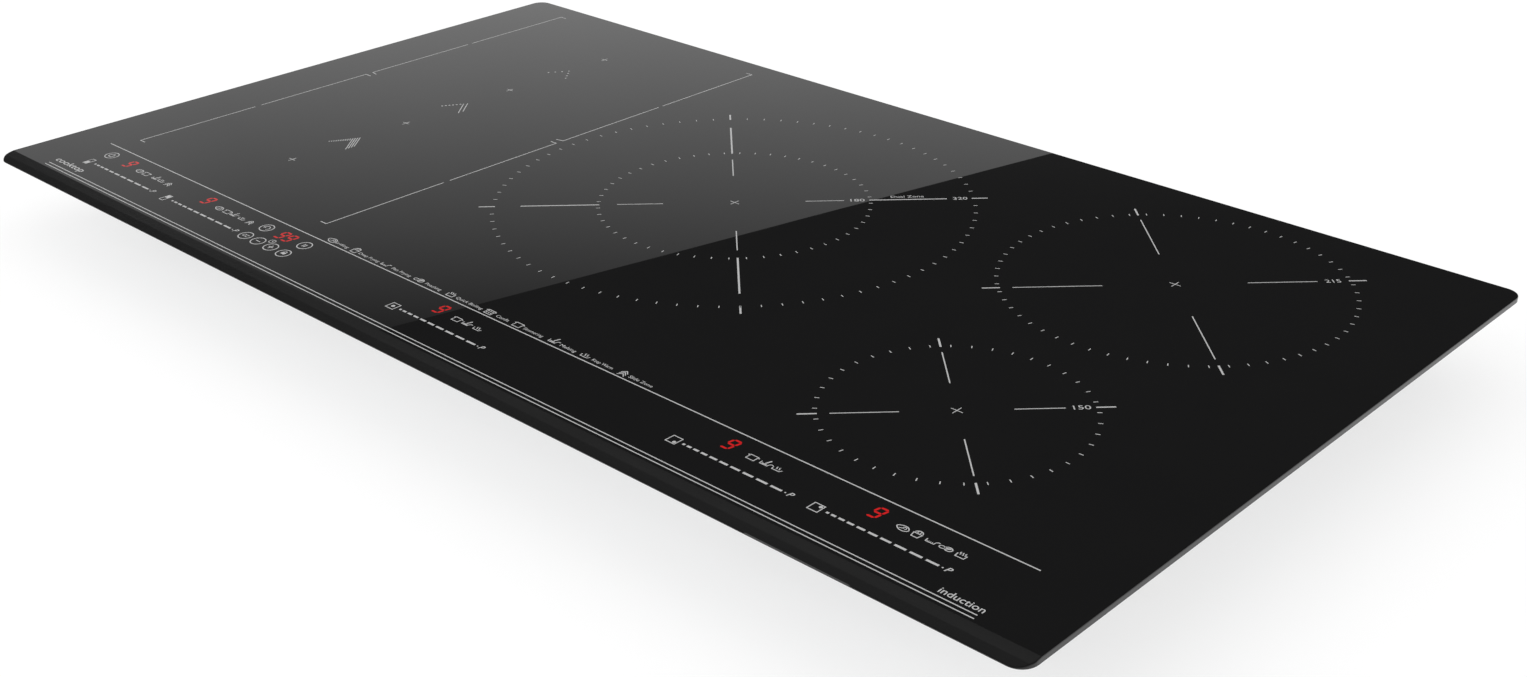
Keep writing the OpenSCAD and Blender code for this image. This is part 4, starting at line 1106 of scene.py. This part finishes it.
# %% [markdown]
# ## Studio
#
# The hob stands on a pale floor that runs out of sight. The light for matt surfaces comes evenly
# from everywhere. What the glass mirrors is chosen separately, as it is in a studio: darkness
# overhead, a pale horizon, and one large card behind the hob on the left. The card fades upwards
# and its slanting top edge draws the sharp diagonal across the middle of the glass.

# %% Floor, card and light
def stage_mesh(name, points, material):
    """A stage object from corner points in metres."""
    mesh = bpy.data.meshes.new(name)
    mesh.from_pydata([tuple(p) for p in points], [], [tuple(range(len(points)))])
    mesh.materials.append(material)
    obj = bpy.data.objects.new(name, mesh)
    bpy.context.scene.collection.objects.link(obj)
    return obj


FLOOR_SIZE = 20.0
FLOOR_Z = -0.0005
floor_finish = Finish("floor")
floor_finish.set(
    Base_Color=(0.30, 0.30, 0.30),
    Roughness=0.9,
    Specular_IOR_Level=0.0,
    Emission_Color=(1.0, 1.0, 1.0),
    Emission_Strength=0.68,
)
corner = np.array([(-1, -1), (1, -1), (1, 1), (-1, 1)]) * FLOOR_SIZE
stage_mesh("floor", [(x, y, FLOOR_Z) for x, y in corner], floor_finish.material)

CARD_AZIMUTH = np.radians(140.0)
CARD_DISTANCE = 3.0
CARD_LEFT, CARD_RIGHT, CARD_FOOT = 1.45, -1.8, 0.2
EDGE_HEIGHT, EDGE_SLOPE = 1.464, 0.2266
GLOW, GLOW_ACROSS, GLOW_UP = 1.48, -0.0774, -0.86
DIMMEST, BRIGHTEST = 0.05, 1.25
CARD_STEPS = 9
outward = np.array([np.cos(CARD_AZIMUTH), np.sin(CARD_AZIMUTH)])
sideways = np.array([-outward[1], outward[0]])
steps = np.linspace(CARD_LEFT, CARD_RIGHT, CARD_STEPS)
card_low = np.column_stack([steps, np.full_like(steps, CARD_FOOT)])
card_high = np.column_stack([steps, EDGE_HEIGHT + EDGE_SLOPE * steps])
card_flat = np.concatenate([card_low, card_high])
card_plan = CARD_DISTANCE * outward + card_flat[:, :1] * sideways
card_points = np.column_stack([card_plan, card_flat[:, 1]])
card_mesh = bpy.data.meshes.new("light_card")
i = np.arange(CARD_STEPS - 1)
card_faces = np.column_stack([i, i + 1, i + 1 + CARD_STEPS, i + CARD_STEPS])
card_mesh.from_pydata(card_points.tolist(), [], card_faces.tolist())
glow = card_mesh.attributes.new("glow", "FLOAT", "POINT")
brightness = GLOW + GLOW_ACROSS * card_flat[:, 0] + GLOW_UP * card_flat[:, 1]
glow.data.foreach_set("value", np.clip(brightness, DIMMEST, BRIGHTEST))
card = bpy.data.objects.new("light_card", card_mesh)
bpy.context.scene.collection.objects.link(card)
card.visible_camera = card.visible_diffuse = card.visible_shadow = False
light = Finish("card_light")
strength = light.node("Attribute", attribute_name="glow").outputs["Fac"]
light.set(
    Base_Color=(0.0, 0.0, 0.0),
    Emission_Color=(1.0, 1.0, 1.0),
    Emission_Strength=strength,
    Specular_IOR_Level=0.0,
)
card_mesh.materials.append(light.material)

world = bpy.data.worlds.new("studio")
world.use_nodes = True
bpy.context.scene.world = world
sky = world.node_tree
background = sky.nodes["Background"]
background.inputs[0].default_value = (1.0, 1.0, 1.0, 1.0)
toward = sky.nodes.new("ShaderNodeSeparateXYZ")
sky.links.new(sky.nodes.new("ShaderNodeTexCoord").outputs["Generated"], toward.inputs[0])
horizon = sky.nodes.new("ShaderNodeMapRange")
sky.links.new(toward.outputs[2], horizon.inputs[0])
HORIZON_GLOW, OVERHEAD_GLOW, DIFFUSE_LIGHT = 0.45, 0.025, 1.1
FADE_START, FADE_END = 0.05, 0.40  # sines of the heights where the glow fades
horizon.inputs[1].default_value = FADE_START
horizon.inputs[2].default_value = FADE_END
horizon.interpolation_type = "SMOOTHSTEP"
horizon.inputs[3].default_value = HORIZON_GLOW
horizon.inputs[4].default_value = OVERHEAD_GLOW
path = sky.nodes.new("ShaderNodeLightPath")
mirror = sky.nodes.new("ShaderNodeMix")
sky.links.new(path.outputs["Is Glossy Ray"], mirror.inputs[0])
mirror.inputs[2].default_value = DIFFUSE_LIGHT
sky.links.new(horizon.outputs[0], mirror.inputs[3])
sky.links.new(mirror.outputs[0], background.inputs[1])

KEY_SIZE, KEY_POWER = 1.6, 14.0
key_data = bpy.data.lights.new("key_light", "AREA")
key_data.size, key_data.energy = KEY_SIZE, KEY_POWER
key = bpy.data.objects.new("key_light", key_data)
KEY_PLACE = Vector((-1.2, -2.2, 2.0))
key.location = KEY_PLACE
key.rotation_euler = (-KEY_PLACE).to_track_quat("-Z", "Y").to_euler()
bpy.context.scene.collection.objects.link(key)

# %% [markdown]
# The camera stands in front of the right corner, a little under half a metre above the glass,
# and looks to the back left.

# %% Camera
CAMERA_PLACE = Vector((0.8221, -0.8133, 0.5480))
AIM = Vector((0.1759, -0.0996, 0.0560))
ROLL = np.radians(0.1)
camera_data = bpy.data.cameras.new("camera")
camera_data.sensor_width = 36.0
camera_data.lens = 44.82
camera_data.shift_x, camera_data.shift_y = -0.0210, 0.00815
camera = bpy.data.objects.new("camera", camera_data)
camera.location = CAMERA_PLACE
upright = (AIM - CAMERA_PLACE).to_track_quat("-Z", "Y").to_matrix()
camera.rotation_euler = (upright @ Matrix.Rotation(ROLL, 3, "Z")).to_euler()
bpy.context.scene.collection.objects.link(camera)
bpy.context.scene.camera = camera
bpy.context.scene.view_settings.view_transform = "Standard"
